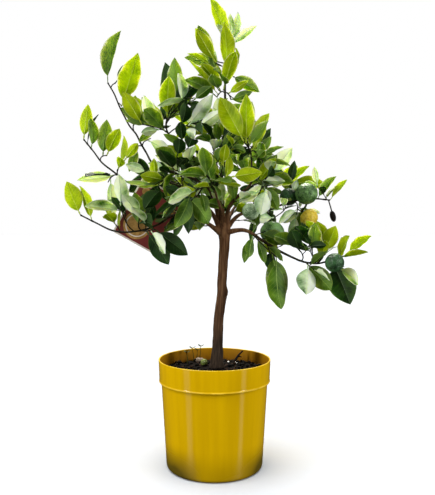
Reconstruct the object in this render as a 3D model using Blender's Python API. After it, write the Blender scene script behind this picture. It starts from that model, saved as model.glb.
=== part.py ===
"""A potted yuzu: a young citrus standard with green fruit, in a yellow plastic pot.

Metres, +Z up. The origin is the middle of the pot's flat underside, -Y is the front.
Limbs and twigs are tapering tubes along smooth paths. Each mass of foliage is one stem with
shoots, whose leaves follow a spiral rule with seeded variation, fused into one closed body.
"""

import math
import random

import bmesh
import bpy
from mathutils import Matrix, Vector
from mathutils.bvhtree import BVHTree

# Clearance between two pieces that touch on the real plant
GAP = 0.0003

# Pot
POT_HEIGHT = 0.191
RIM_RADIUS = 0.1004
COLLAR_HEIGHT = 0.039
COLLAR_FOOT_RADIUS = 0.0988
BODY_TOP_RADIUS = 0.0952
BODY_FOOT_RADIUS = 0.0856
FOOT_ROUNDING = 0.007
WALL = 0.0024
FLOOR = 0.0035
EDGE = 0.002
LIP = 0.0006
INSIDE_CORNER = 0.004
POT_SIDES = 36

# Soil
SOIL_EDGE_HEIGHT = 0.167
SOIL_TOP = 0.1742
SOIL_FLAT_RADIUS = 0.021
SOIL_RINGS = (0.85, 0.62, 0.42)
SOIL_BUMP = 0.0012

# Trunk: distance along it is set by these places, each with its radius
TRUNK_PATH = (
    ((0.0035, 0.000, SOIL_TOP + GAP), 0.0134),
    ((0.0042, 0.000, 0.186), 0.0112),
    ((0.0056, 0.001, 0.215), 0.0097),
    ((0.0078, 0.002, 0.262), 0.0090),
    ((0.0122, 0.002, 0.296), 0.0092),
    ((0.0146, 0.001, 0.309), 0.0099),
    ((0.0134, 0.000, 0.326), 0.0089),
    ((0.0156, 0.000, 0.362), 0.0087),
    ((0.0178, 0.000, 0.400), 0.0094),
    ((0.0172, 0.000, 0.424), 0.0118),
    ((0.0166, 0.000, 0.432), 0.0108),
)
TRUNK_CROWN = 0.004
TRUNK_CROWN_SHARE = 0.6
TRUNK_SIDES = 14

# Boughs: what each springs from, its radius at the foot and the tip, and the places it passes
BOUGHS = {
    "bough_leader": ("trunk", 0.0046, 0.0022, (
        (0.0160, 0.001, 0.424), (0.0125, 0.002, 0.470), (0.0130, 0.004, 0.535),
        (0.0175, 0.002, 0.600), (0.0190, 0.000, 0.658))),
    "bough_left": ("trunk", 0.0040, 0.0018, (
        (0.0130, 0.002, 0.424), (0.0010, 0.001, 0.468), (-0.0110, 0.003, 0.497),
        (-0.0380, 0.012, 0.515), (-0.0830, 0.022, 0.531), (-0.1120, 0.027, 0.542),
        (-0.1270, 0.028, 0.566))),
    "bough_left_mid": ("trunk", 0.0036, 0.0017, (
        (0.0110, -0.004, 0.422), (-0.0050, -0.009, 0.452), (-0.0320, -0.010, 0.480),
        (-0.0620, -0.006, 0.499), (-0.0980, -0.001, 0.512), (-0.1340, 0.001, 0.513),
        (-0.1560, 0.000, 0.508), (-0.1680, -0.001, 0.516))),
    "bough_left_low": ("trunk", 0.0034, 0.0018, (
        (0.0120, -0.004, 0.416), (-0.0240, -0.020, 0.441), (-0.0490, -0.027, 0.450),
        (-0.0760, -0.031, 0.446), (-0.0950, -0.033, 0.433), (-0.1150, -0.035, 0.424))),
    "bough_right_low": ("trunk", 0.0038, 0.0020, (
        (0.0180, -0.003, 0.417), (0.0540, -0.016, 0.421), (0.0840, -0.026, 0.403),
        (0.1150, -0.033, 0.384), (0.1440, -0.036, 0.370))),
    "bough_right_mid": ("trunk", 0.0036, 0.0019, (
        (0.0190, 0.003, 0.422), (0.0450, 0.016, 0.449), (0.0760, 0.023, 0.455),
        (0.0980, 0.027, 0.457), (0.1210, 0.030, 0.467))),
    "bough_right_upper": ("trunk", 0.0036, 0.0019, (
        (0.0200, -0.003, 0.424), (0.0260, -0.014, 0.462), (0.0450, -0.021, 0.485),
        (0.0640, -0.025, 0.504), (0.0650, -0.027, 0.545))),
    "bough_front": ("trunk", 0.0032, 0.0018, (
        (0.0150, -0.004, 0.424), (0.0120, -0.034, 0.452), (0.0050, -0.070, 0.474),
        (0.0000, -0.104, 0.488))),
    "bough_back_left": ("trunk", 0.0034, 0.0018, (
        (0.0140, 0.005, 0.424), (-0.0060, 0.040, 0.456), (-0.0360, 0.084, 0.486),
        (-0.0600, 0.120, 0.508))),
    "bough_back_right": ("trunk", 0.0034, 0.0018, (
        (0.0190, 0.005, 0.424), (0.0350, 0.045, 0.460), (0.0600, 0.085, 0.488),
        (0.0840, 0.115, 0.504))),
    "bough_left_upper": ("bough_leader", 0.0028, 0.0016, (
        (0.0128, 0.003, 0.512), (-0.0110, -0.002, 0.536), (-0.0380, -0.010, 0.553),
        (-0.0620, -0.014, 0.571), (-0.0780, -0.016, 0.587))),
}
BOUGH_SIDES = 6
STEP_ALONG_BOUGH = 0.022
TAPER_POWER = 0.8

# Foliage. Each mass: the limb it grows on and where along it (1 is the tip), its leaves' width
# as a share of their length, then its shoots.
# A shoot: where on the stem it starts, its tip, leaves, leaf length, turn of its first leaf in
# degrees, and how strongly its leaves lean to the right and upwards. The first one is the stem.
MASSES = {
    "foliage_top": ("bough_leader", 1, 0.36, (
        (0.00, (0.025, 0.002, 0.757), 1, 0.088, 180, -0.3, 0.9),
        (0.88, (0.033, 0.006, 0.764), 2, 0.056, 216, 0.3, 1.0),
        (0.45, (0.030, 0.008, 0.698), 1, 0.074, 180, 0.1, 2.2),
        (0.50, (0.000, -0.006, 0.722), 1, 0.082, 180, -0.1, 2.0),
        (0.15, (0.016, -0.016, 0.670), 1, 0.078, 0, 1.0, 2.2),
        (0.08, (0.004, -0.032, 0.654), 2, 0.078, 180, -1.5, 1.7),
        (0.10, (0.030, 0.004, 0.657), 2, 0.050, 0, 1.3, 1.5),
        (0.35, (0.018, 0.040, 0.700), 3, 0.064, 200, -0.2, 0.9),
        (0.30, (-0.006, -0.004, 0.716), 1, 0.046, 180, -1.6, 1.6),
        (0.60, (0.006, 0.014, 0.728), 1, 0.042, 0, 0.0, 2.0))),
    "foliage_upper_left": ("bough_left_upper", 1, 0.40, (
        (0.00, (-0.072, -0.020, 0.648), 5, 0.086, 200, 0.0, 1.0),
        (0.05, (-0.128, -0.022, 0.608), 5, 0.062, 0, 0.1, 1.1),
        (0.40, (-0.040, -0.026, 0.658), 3, 0.068, 200, -0.1, 1.6),
        (0.02, (-0.030, -0.040, 0.598), 4, 0.066, 180, 0.1, 0.5),
        (0.40, (-0.038, -0.030, 0.646), 1, 0.070, 180, -1.8, -0.7))),
    "foliage_far_upper_left": ("bough_left", 1, 0.42, (
        (0.00, (-0.196, 0.022, 0.692), 2, 0.098, 180, 0.7, 2.6),
        (0.70, (-0.168, 0.006, 0.646), 1, 0.094, 0, 0.4, 2.2),
        (0.30, (-0.146, 0.014, 0.618), 2, 0.050, 180, 0.1, 1.2),
        (0.06, (-0.116, 0.010, 0.588), 2, 0.060, 0, 0.2, -1.2),
        (0.02, (-0.150, 0.018, 0.570), 3, 0.056, 0, 0.0, -0.6),
        (0.92, (-0.184, 0.032, 0.694), 1, 0.066, 0, 1.1, 2.2))),
    "foliage_left_mid": ("bough_left_mid", 1, 0.42, (
        (0.00, (-0.233, -0.012, 0.583), 3, 0.072, 0, 0.7, 1.8),
        (0.50, (-0.190, -0.022, 0.553), 2, 0.066, 30, 0.0, 2.0),
        (0.04, (-0.188, -0.020, 0.506), 4, 0.070, 0, -0.4, -0.2),
        (0.06, (-0.160, -0.014, 0.545), 3, 0.050, 0, 0.2, 0.9))),
    "foliage_left_low": ("bough_left_low", 1, 0.46, (
        (0.00, (-0.230, -0.050, 0.447), 3, 0.066, 60, -0.3, 1.6),
        (0.02, (-0.100, -0.064, 0.422), 3, 0.072, 90, 0.5, -1.3),
        (0.10, (-0.124, -0.060, 0.450), 4, 0.062, 40, 0.0, 0.1),
        (0.20, (-0.160, -0.058, 0.462), 2, 0.062, 40, 0.0, -0.2))),
    "foliage_left_centre": ("bough_left", 0.58, 0.48, (
        (0.00, (-0.070, -0.036, 0.526), 4, 0.072, 0, 0.0, 0.0),
        (0.45, (-0.046, -0.064, 0.474), 4, 0.070, 0, 0.2, -0.6),
        (0.50, (-0.104, -0.040, 0.500), 4, 0.058, 0, -0.2, 0.1))),
    "foliage_right_low": ("bough_right_low", 1, 0.54, (
        (0.00, (0.228, -0.046, 0.378), 3, 0.054, 180, 0.4, 0.6),
        (0.12, (0.160, -0.052, 0.362), 3, 0.062, 0, 0.0, -1.2),
        (0.55, (0.208, -0.028, 0.364), 1, 0.080, 0, 0.2, -0.9),
        (0.40, (0.194, -0.030, 0.390), 3, 0.058, 180, -0.2, 1.1),
        (0.25, (0.166, -0.050, 0.392), 2, 0.054, 180, -0.6, 1.0),
        (0.05, (0.140, -0.050, 0.392), 2, 0.052, 180, -0.5, 0.6))),
    "foliage_low_centre": ("bough_right_low", 0.45, 0.39, (
        (0.00, (0.066, -0.046, 0.412), 3, 0.052, 0, -0.1, -1.6),
        (0.50, (0.106, -0.052, 0.375), 2, 0.098, 0, -0.5, -1.8))),
    "foliage_right_mid": ("bough_right_mid", 1, 0.40, (
        (0.00, (0.214, 0.032, 0.477), 3, 0.056, 180, 0.3, 1.5),
        (0.18, (0.144, 0.052, 0.508), 2, 0.052, 0, 0.0, 1.1),
        (0.30, (0.152, 0.034, 0.450), 2, 0.050, 180, -0.4, -0.2),
        (0.50, (0.170, 0.066, 0.460), 3, 0.056, 0, 0.0, -0.3),
        (0.08, (0.108, 0.006, 0.444), 1, 0.050, 180, -0.4, 0.4),
        (0.92, (0.206, 0.036, 0.484), 1, 0.056, 0, -1.0, 2.4))),
    "foliage_right_centre": ("bough_right_upper", 0.62, 0.44, (
        (0.00, (0.100, -0.024, 0.522), 4, 0.064, 180, 0.2, -0.1),
        (0.50, (0.088, -0.048, 0.492), 3, 0.058, 0, 0.2, -0.4))),
    "foliage_right_upper": ("bough_right_upper", 1, 0.38, (
        (0.00, (0.050, -0.058, 0.572), 2, 0.082, 180, -0.4, 1.6),
        (0.20, (0.065, -0.018, 0.557), 2, 0.086, 0, 0.6, 2.4),
        (0.30, (0.080, -0.016, 0.552), 2, 0.050, 0, 0.3, 0.5),
        (0.10, (0.084, -0.044, 0.540), 3, 0.054, 0, 0.3, 0.8),
        (0.30, (0.086, 0.022, 0.560), 3, 0.064, 0, 0.0, 0.2))),
    "foliage_centre": ("bough_leader", 0.47, 0.46, (
        (0.00, (-0.006, -0.032, 0.580), 5, 0.056, 0, 0.0, 0.3),
        (0.40, (0.036, -0.030, 0.562), 3, 0.056, 0, 0.2, 0.1),
        (0.20, (0.004, -0.044, 0.528), 3, 0.050, 0, 0.0, 0.0))),
    "foliage_front": ("bough_front", 1, 0.44, (
        (0.00, (-0.012, -0.150, 0.506), 4, 0.060, 0, 0.0, 0.2),
        (0.15, (0.026, -0.122, 0.506), 3, 0.050, 0, 0.0, 0.1),
        (0.15, (-0.046, -0.126, 0.474), 4, 0.060, 0, -0.2, -0.3))),
    "foliage_back_left": ("bough_back_left", 1, 0.46, (
        (0.00, (-0.090, 0.170, 0.535), 5, 0.070, 0, 0.0, 0.2),
        (0.15, (-0.120, 0.112, 0.528), 4, 0.064, 0, -0.2, 0.1),
        (0.35, (-0.030, 0.160, 0.552), 4, 0.064, 0, 0.0, 0.4),
        (0.20, (-0.070, 0.150, 0.470), 3, 0.064, 0, 0.0, -0.5))),
    "foliage_back_right": ("bough_back_right", 1, 0.46, (
        (0.00, (0.110, 0.172, 0.520), 5, 0.070, 0, 0.0, 0.2),
        (0.15, (0.150, 0.104, 0.516), 4, 0.064, 0, 0.2, 0.1),
        (0.35, (0.050, 0.160, 0.550), 4, 0.064, 0, 0.0, 0.4),
        (0.20, (0.092, 0.142, 0.456), 3, 0.064, 0, 0.0, -0.5))),
    "foliage_back_top": ("bough_leader", 0.70, 0.44, (
        (0.00, (0.008, 0.072, 0.632), 5, 0.070, 0, 0.0, 0.4),
        (0.40, (-0.036, 0.062, 0.618), 3, 0.064, 0, -0.2, 0.3))),
}
SIDE_STEM_RADIUS = 0.0015
STEM_SQUARENESS = 0.5
STEM_SEARCH = 0.012
STEM_FOOT = 0.08
SQUARE_FOOT = 0.002
SHOOT_RADIUS = 0.0012
SHOOT_TIP_RADIUS = 0.0007
STEP_ALONG_SHOOT = 0.022
SHOOT_BEND = 0.42
SHOOT_KINK = 0.07

# Fruit: the mass and shoot that carry it, where along that shoot, its middle and its diameter
FRUIT = (
    ("foliage_right_mid", 0, 0.55, (0.170, 0.030, 0.489), 0.042),
    ("foliage_right_mid", 1, 0.10, (0.139, 0.044, 0.484), 0.034),
    ("foliage_right_mid", 2, 0.60, (0.175, 0.030, 0.444), 0.034),
    ("foliage_right_mid", 4, 0.96, (0.104, 0.000, 0.417), 0.044),
    ("foliage_right_centre", 1, 0.30, (0.062, -0.050, 0.453), 0.030),
    ("foliage_right_low", 0, 0.60, (0.203, -0.066, 0.366), 0.033),
    ("foliage_right_mid", 0, 0.97, (0.2192, 0.031, 0.447), 0.011),
)
FRUIT_FLATTENING = 0.92
FRUIT_ROOM = 0.002
STALK_RADIUS = 0.0011
STALK_ARCH = 0.002

# Leaves
SPIRAL = 144
INTERNODE = 0.010
BARE_FOOT = 0.08
PETIOLE_SHARE = 0.13
PETIOLE_RADIUS = 0.0008
LEAF_WOBBLE = 0.6
INTERNODE_RANGE = (0.85, 1.2)
LENGTH_RANGE = (0.84, 1.08)
WIDTH_RANGE = (0.85, 1.15)
SPREAD_RANGE = (-12, 12)
CURL_RANGE = (-55, 15)
FOLD_RANGE = (0.05, 0.3)
LEAF_THICKNESS_SHARE = 0.014
BLADE_STATIONS = ((0.20, 0.74), (0.48, 1.00), (0.78, 0.62))
TIP_ANGLE = 20
SPREAD_ANGLE = 52
LIGHT = Vector((0.15, 0.75, 0.65))
TURNS_TRIED = (0, 25, -25, 50, -50, 80, -80, 115, -115, 150)
SPACE_OVERLAP = 0.02
SPACE_KNOTS = 6
TWIG_ROOM = 2

# Label card, hung from a bough by the loop on its strap
CARD_WIDTH = 0.088
CARD_HEIGHT = 0.112
CARD_THICKNESS = 0.0008
CARD_LEAN = 29
CARD_BOUGH = "bough_left_mid"
CARD_PLACE = 0.60
STRAP_WIDTH = 0.007
STRAP_LENGTH = 0.010
STRAP_SUNK = 0.002
LOOP_WALL = 0.0009
LOOP_SIDES = 12

COLOURS = {
    "pot": ((0.62, 0.36, 0.005), 0.32),
    "soil": ((0.035, 0.022, 0.015), 0.95),
    "bark": ((0.16, 0.085, 0.045), 0.85),
    "leaf": ((0.10, 0.22, 0.02), 0.40),
    "card": ((0.20, 0.03, 0.03), 0.35),
}


def clear_scene():
    for obj in list(bpy.data.objects):
        bpy.data.objects.remove(obj)


def material(name):
    made = bpy.data.materials.get(name)
    if made is None:
        colour, roughness = COLOURS[name]
        made = bpy.data.materials.new(name)
        made.use_nodes = True
        shader = made.node_tree.nodes["Principled BSDF"]
        shader.inputs["Base Color"].default_value = (*colour, 1)
        shader.inputs["Roughness"].default_value = roughness
        shader.inputs["Metallic"].default_value = 0
    return made


def loft(rings):
    """A closed mesh through rings of points, each capped end flat unless it is one point."""
    shape = bmesh.new()
    loops = [[shape.verts.new(point) for point in ring] for ring in rings]
    for low, high in zip(loops, loops[1:]):
        for i in range(len(low)):
            j = (i + 1) % len(low)
            if len(high) == 1:
                shape.faces.new((low[i], low[j], high[0]))
            else:
                shape.faces.new((low[i], low[j], high[j], high[i]))
    shape.faces.new(reversed(loops[0]))
    if len(loops[-1]) > 1:
        shape.faces.new(loops[-1])
    bmesh.ops.recalc_face_normals(shape, faces=shape.faces)
    return shape


def to_object(shape, name, finish, smooth_angle=40):
    mesh = bpy.data.meshes.new(name)
    shape.to_mesh(mesh)
    shape.free()
    mesh.shade_smooth()
    mesh.set_sharp_from_angle(angle=math.radians(smooth_angle))
    mesh.materials.append(material(finish))
    obj = bpy.data.objects.new(name, mesh)
    bpy.context.scene.collection.objects.link(obj)
    return obj


def ring_about(centre, side, up, radius, sides):
    """Points round a centre, in the plane of side and up."""
    turns = [2 * math.pi * i / sides for i in range(sides)]
    return [centre + radius * (math.cos(a) * side + math.sin(a) * up) for a in turns]


def smooth_path(places, step):
    """Points about a step apart on the curve through all the places."""
    places = [Vector(place) for place in places]
    ends = [2 * places[0] - places[1], *places, 2 * places[-1] - places[-2]]
    path = [places[0]]
    for a, b, c, d in zip(ends, ends[1:], ends[2:], ends[3:]):
        count = max(1, round((c - b).length / step))
        for i in range(1, count + 1):
            t = i / count
            path.append(0.5 * (2 * b + (c - a) * t + (2 * a - 5 * b + 4 * c - d) * t ** 2
                               + (3 * b - a - 3 * c + d) * t ** 3))
    return path


def place_along(path, share):
    """The point and direction at a share of a path's length."""
    lengths = [(b - a).length for a, b in zip(path, path[1:])]
    left = share * sum(lengths)
    for a, b, length in zip(path, path[1:], lengths):
        if left <= length:
            return a.lerp(b, left / length), (b - a).normalized()
        left -= length
    return path[-1].copy(), (path[-1] - path[-2]).normalized()


def tube_rings(path, radii, sides):
    """Rings square to a path, each turned as little as possible from the last."""
    rings = []
    side = None
    for i, centre in enumerate(path):
        along = (path[min(i + 1, len(path) - 1)] - path[max(i - 1, 0)]).normalized()
        if side is None:
            side = along.orthogonal().normalized()
        side = (side - side.dot(along) * along).normalized()
        rings.append(ring_about(centre, side, along.cross(side), radii[i], sides))
    return rings


def thickness_at(share, foot, tip):
    """The radius of a limb or twig at a share of its length, which thins fastest at its foot."""
    return foot + (tip - foot) * share ** TAPER_POWER


def taper(path, foot, tip):
    return [thickness_at(i / (len(path) - 1), foot, tip) for i in range(len(path))]


def apply_boolean(obj, collection, operation):
    """Joins or cuts with every object of a collection, then removes them all."""
    change = obj.modifiers.new("join", "BOOLEAN")
    change.operation = operation
    change.operand_type = "COLLECTION"
    change.collection = collection
    graph = bpy.context.evaluated_depsgraph_get()
    made = bpy.data.meshes.new_from_object(obj.evaluated_get(graph))
    obj.modifiers.remove(change)
    old = obj.data
    obj.data = made
    bpy.data.meshes.remove(old)
    for other in list(collection.objects):
        bpy.data.objects.remove(other)
    bpy.data.collections.remove(collection)


def keep_main_body(obj):
    """Drops loose scraps and fills sealed hollows: only the largest outer shell stays."""
    shape = bmesh.new()
    shape.from_mesh(obj.data)
    bmesh.ops.triangulate(shape, faces=shape.faces)
    unseen = set(shape.verts)
    bodies = []
    while unseen:
        body = set()
        edge = [unseen.pop()]
        while edge:
            vert = edge.pop()
            body.add(vert)
            near = {link.other_vert(vert) for link in vert.link_edges} & unseen
            unseen -= near
            edge.extend(near)
        bodies.append(body)
    bodies.sort(key=len)
    for body in bodies[:-1]:
        bmesh.ops.delete(shape, geom=list(body), context="VERTS")
    shape.to_mesh(obj.data)
    shape.free()


def round_rings(profile):
    """Rings about the upright axis, one for each radius and height."""
    side, up = Vector((1, 0, 0)), Vector((0, 1, 0))
    return [ring_about(Vector((0, 0, z)), side, up, r, POT_SIDES) for r, z in profile]


def pot_inside(clearance=0.0):
    """The inner profile from the floor to just below the rim, moved in by a clearance."""
    foot = BODY_FOOT_RADIUS - WALL
    step = POT_HEIGHT - COLLAR_HEIGHT
    profile = (
        (foot - INSIDE_CORNER, FLOOR + clearance),
        (foot, FLOOR + INSIDE_CORNER),
        (BODY_TOP_RADIUS - WALL, step - INSIDE_CORNER),
        (COLLAR_FOOT_RADIUS - WALL, step + INSIDE_CORNER),
        (RIM_RADIUS - WALL - LIP, POT_HEIGHT - EDGE),
    )
    return [(r - clearance, z) for r, z in profile]


def make_pot():
    corner = [
        (BODY_FOOT_RADIUS - FOOT_ROUNDING * (1 - math.sin(a)), FOOT_ROUNDING * (1 - math.cos(a)))
        for a in (math.radians(angle) for angle in (0, 30, 60, 90))
    ]
    step = POT_HEIGHT - COLLAR_HEIGHT
    profile = [
        *corner,
        (BODY_TOP_RADIUS, step),
        (COLLAR_FOOT_RADIUS - EDGE / 2, step),
        (COLLAR_FOOT_RADIUS, step + EDGE),
        (RIM_RADIUS, POT_HEIGHT - EDGE),
        (RIM_RADIUS - LIP, POT_HEIGHT),
        (RIM_RADIUS - WALL, POT_HEIGHT),
        *reversed(pot_inside()),
    ]
    return to_object(loft(round_rings(profile)), "pot", "pot")


def make_soil():
    """The root ball's soil: it fills the pot and rises a little towards the trunk."""
    rng = random.Random("soil")
    *profile, (low_radius, low), (high_radius, high) = pot_inside(GAP)
    share = (SOIL_EDGE_HEIGHT - low) / (high - low)
    edge_radius = low_radius + (high_radius - low_radius) * share
    rings = round_rings([*profile, (low_radius, low), (edge_radius, SOIL_EDGE_HEIGHT)])
    flat = SOIL_FLAT_RADIUS / edge_radius
    for share in SOIL_RINGS:
        rise = (SOIL_TOP - SOIL_EDGE_HEIGHT) * (1 - share) / (1 - flat)
        ring, = round_rings([(edge_radius * share, SOIL_EDGE_HEIGHT + rise)])
        for point in ring:
            point.z += rng.uniform(-SOIL_BUMP, SOIL_BUMP)
        rings.append(ring)
    rings += round_rings([(SOIL_FLAT_RADIUS, SOIL_TOP)])
    return to_object(loft(rings), "soil", "soil")


def trunk_rings(extra=0.0):
    places = [place for place, _ in TRUNK_PATH]
    path = [Vector(place) for place in places]
    radii = [radius + extra for _, radius in TRUNK_PATH]
    side, up = Vector((1, 0, 0)), Vector((0, 1, 0))
    rings = [
        ring_about(centre, side, up, radius, TRUNK_SIDES) for centre, radius in zip(path, radii)
    ]
    crown = path[-1] + Vector((0, 0, TRUNK_CROWN + extra))
    rings.append(ring_about(crown, side, up, radii[-1] * TRUNK_CROWN_SHARE, TRUNK_SIDES))
    return rings


def bough_rings(name, extra=0.0):
    _, foot, tip, places = BOUGHS[name]
    path = smooth_path(places, STEP_ALONG_BOUGH)
    radii = [radius + extra for radius in taper(path, foot, tip)]
    return tube_rings(path, radii, BOUGH_SIDES)


def make_limbs():
    """The trunk and boughs, each cut clear of every limb made before it."""
    to_object(loft(trunk_rings()), "trunk", "bark")
    done = ["trunk"]
    for name in BOUGHS:
        limb = to_object(loft(bough_rings(name)), name, "bark")
        cutters = bpy.data.collections.new("cutters")
        for other in done:
            rings = trunk_rings(GAP) if other == "trunk" else bough_rings(other, GAP)
            cutter = to_object(loft(rings), "cutter", "bark")
            bpy.context.scene.collection.objects.unlink(cutter)
            cutters.objects.link(cutter)
        apply_boolean(limb, cutters, "DIFFERENCE")
        keep_main_body(limb)
        done.append(name)


def card_frame():
    """The card's hanging point on its bough, and its across, out and up directions."""
    path = smooth_path(BOUGHS[CARD_BOUGH][3], STEP_ALONG_BOUGH)
    hang, along = place_along(path, CARD_PLACE)
    lean = math.radians(CARD_LEAN)
    up = Vector((math.sin(lean), 0, math.cos(lean)))
    out = Vector((0, -1, 0))
    return hang, along, up.cross(out), out, up


def box_between(low, high, axes, origin):
    shape = bmesh.new()
    bmesh.ops.create_cube(shape, size=1)
    size = Matrix.Diagonal([*(b - a for a, b in zip(low, high)), 1])
    middle = Matrix.Translation([(a + b) / 2 for a, b in zip(low, high)])
    turn = Matrix(axes).transposed().to_4x4()
    shape.transform(Matrix.Translation(origin) @ turn @ middle @ size)
    bmesh.ops.recalc_face_normals(shape, faces=shape.faces)
    return shape


def make_card():
    hang, along, across, out, up = card_frame()
    _, foot, tip, _ = BOUGHS[CARD_BOUGH]
    hole = thickness_at(CARD_PLACE, foot, tip) + 2 * GAP
    axes = (across, out, up)
    half = CARD_THICKNESS / 2
    top = -hole - LOOP_WALL - STRAP_LENGTH
    plate = box_between((-CARD_WIDTH / 2, -half, top - CARD_HEIGHT),
                        (CARD_WIDTH / 2, half, top), axes, hang)
    strap = box_between((-STRAP_WIDTH / 2, -half, top - STRAP_SUNK),
                        (STRAP_WIDTH / 2, half, -hole - LOOP_WALL / 2), axes, hang)
    side = along.orthogonal().normalized()
    turned = along.cross(side)
    ends = [hang - along * STRAP_WIDTH / 2, hang + along * STRAP_WIDTH / 2]
    outer = [ring_about(end, side, turned, hole + LOOP_WALL, LOOP_SIDES) for end in ends]
    inner = [ring_about(end, side, turned, hole, LOOP_SIDES) for end in ends]
    loop = bmesh.new()
    loops = [[loop.verts.new(point) for point in ring]
             for ring in (outer[0], outer[1], inner[1], inner[0])]
    for low, high in zip(loops, loops[1:] + loops[:1]):
        for i in range(LOOP_SIDES):
            j = (i + 1) % LOOP_SIDES
            loop.faces.new((low[i], low[j], high[j], high[i]))
    bmesh.ops.recalc_face_normals(loop, faces=loop.faces)
    return fuse("label_card", [plate, strap, loop], "card")


def fuse(name, shapes, finish):
    """One closed body from closed shapes that run into each other."""
    made = to_object(shapes[0], name, finish)
    others = bpy.data.collections.new("others")
    for shape in shapes[1:]:
        other = to_object(shape, "other", finish)
        bpy.context.scene.collection.objects.unlink(other)
        others.objects.link(other)
    apply_boolean(made, others, "UNION")
    keep_main_body(made)
    return made


def stem_start(limb, share, tip):
    """Where a mass's stem starts, the way it leaves, and its radius there."""
    _, _, end, places = BOUGHS[limb]
    path = smooth_path(places, STEP_ALONG_BOUGH)
    point, along = place_along(path, share)
    if share == 1:
        return point + along * GAP, along, end
    away = (tip - point).normalized()
    away = (away - STEM_SQUARENESS * away.dot(along) * along).normalized()
    side = away.orthogonal().normalized()
    bark = BVHTree.FromBMesh(loft(bough_rings(limb)))
    start = point + away * STEM_SEARCH
    while True:
        ring = ring_about(start, side, away.cross(side), SIDE_STEM_RADIUS, 6)
        if min(bark.find_nearest(place)[3] for place in ring) < 1.5 * GAP:
            return start, away, SIDE_STEM_RADIUS
        start = start - away * GAP / 4


def shoot_path(start, tip, leaving, rng):
    """A shoot leaves square to its first ring, bends towards its tip and wavers a little."""
    reach = (tip - start).length
    count = max(3, round(reach / STEP_ALONG_SHOOT))
    bend = start + leaving * reach * SHOOT_BEND
    kink = SHOOT_KINK * reach / count
    path = [start, start + leaving * SQUARE_FOOT]
    for i in range(1, count + 1):
        t = i / count
        point = start * (1 - t) ** 2 + bend * 2 * t * (1 - t) + tip * t ** 2
        if i < count:
            point = point + Vector([rng.uniform(-kink, kink) for _ in range(3)])
        path.append(point)
    return path


def grow_shoots(name):
    """The paths and radii of a mass's stem and of the shoots that branch from it."""
    limb, share, _, rows = MASSES[name]
    rng = random.Random(name)
    first, leaving, foot = stem_start(limb, share, Vector(rows[0][1]))
    shoots = []
    for at, tip, *_ in rows:
        tip = Vector(tip)
        if shoots:
            start, along = place_along(shoots[0][0], max(at, STEM_FOOT))
            path = shoot_path(start, tip, (along + (tip - start).normalized()).normalized(), rng)
            radii = taper(path, SHOOT_RADIUS, SHOOT_TIP_RADIUS)
        else:
            path = shoot_path(first, tip, leaving, rng)
            radii = taper(path, foot, SHOOT_TIP_RADIUS)
        shoots.append((path, radii))
    return shoots


def leaf_rings(root, heading, face, length, width, curl, fold):
    """A stalk and a blade: three-cornered sections, two edges and a rib below them."""
    side = heading.cross(face).normalized()
    stalk = length * PETIOLE_SHARE
    blade = length - stalk
    rings = [ring_about(root, side, face, PETIOLE_RADIUS, 3)]
    point = root + heading * stalk
    rings.append(ring_about(point, side, face, PETIOLE_RADIUS, 3))
    thickness = length * LEAF_THICKNESS_SHARE
    last = 0
    for along, broad in (*BLADE_STATIONS, (1, 0)):
        turn = Matrix.Rotation(curl * (along - last), 3, side)
        heading = turn @ heading
        face = turn @ face
        point = point + heading * blade * (along - last)
        last = along
        if not broad:
            rings.append([point])
            break
        edge = side * (width / 2) * broad
        raised = face * (width / 2) * broad * fold
        rings.append([point + edge + raised, point - face * thickness, point - edge + raised])
    rings[0] = [rings[0][i] for i in (0, 2, 1)]
    rings[1] = [rings[1][i] for i in (0, 2, 1)]
    return rings


def body_of(shape):
    """A shape's search tree, middle and reach. The shape is freed."""
    points = [vert.co.copy() for vert in shape.verts]
    middle = sum(points, Vector()) / len(points)
    reach = max((point - middle).length for point in points)
    tree = BVHTree.FromBMesh(shape)
    shape.free()
    return tree, middle, reach


def touches(body, others):
    tree, middle, reach = body
    for other, centre, radius in others:
        if (centre - middle).length < reach + radius and tree.overlap(other):
            return True
    return False


def in_space(name, rings, spaces):
    """True where a blade's rib is nearer to its own mass's twigs than to another's, or nearly."""
    for point in (ring[len(ring) // 2] for ring in rings):
        near = {key: min((point - knot).length for knot in knots)
                for key, knots in spaces.items()}
        if near[name] > min(near.values()) + SPACE_OVERLAP:
            return False
    return True


def space_knots(shoots):
    """Points along a mass's shoots, which mark out its space."""
    return [place_along(path, i / SPACE_KNOTS)[0]
            for path, _ in shoots for i in range(SPACE_KNOTS + 1)]


def leaf_on(shoot, row, name, number, i, extra):
    """The rings of one leaf, turned by an extra angle, or None below the bare foot."""
    path, _ = shoot
    _, _, _, length, turn, right, lift = row
    rng = random.Random(f"{name} {number} {i}")
    run = sum((b - a).length for a, b in zip(path, path[1:]))
    share = 1 - i * INTERNODE * rng.uniform(*INTERNODE_RANGE) / run
    size = length * rng.uniform(*LENGTH_RANGE)
    width = size * MASSES[name][2] * rng.uniform(*WIDTH_RANGE)
    opening = math.radians(SPREAD_ANGLE + rng.uniform(*SPREAD_RANGE) if i else TIP_ANGLE)
    curl = math.radians(rng.uniform(*CURL_RANGE))
    fold = rng.uniform(*FOLD_RANGE)
    wobble = Vector([rng.uniform(-LEAF_WOBBLE, LEAF_WOBBLE) for _ in range(3)])
    if share < BARE_FOOT:
        return None
    root, along = place_along(path, share)
    right_hand = Vector((0, 1, 0)).cross(along).normalized()
    spin = math.radians(turn + i * SPIRAL + extra)
    out = right_hand * math.cos(spin) + along.cross(right_hand) * math.sin(spin)
    heading = along * math.cos(opening) + out * math.sin(opening)
    heading = (heading + Vector((right, 0, lift))).normalized()
    face = LIGHT.normalized() + wobble
    face = (face - face.dot(heading) * heading).normalized()
    return leaf_rings(root, heading, face, size, width, curl, fold)


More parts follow.
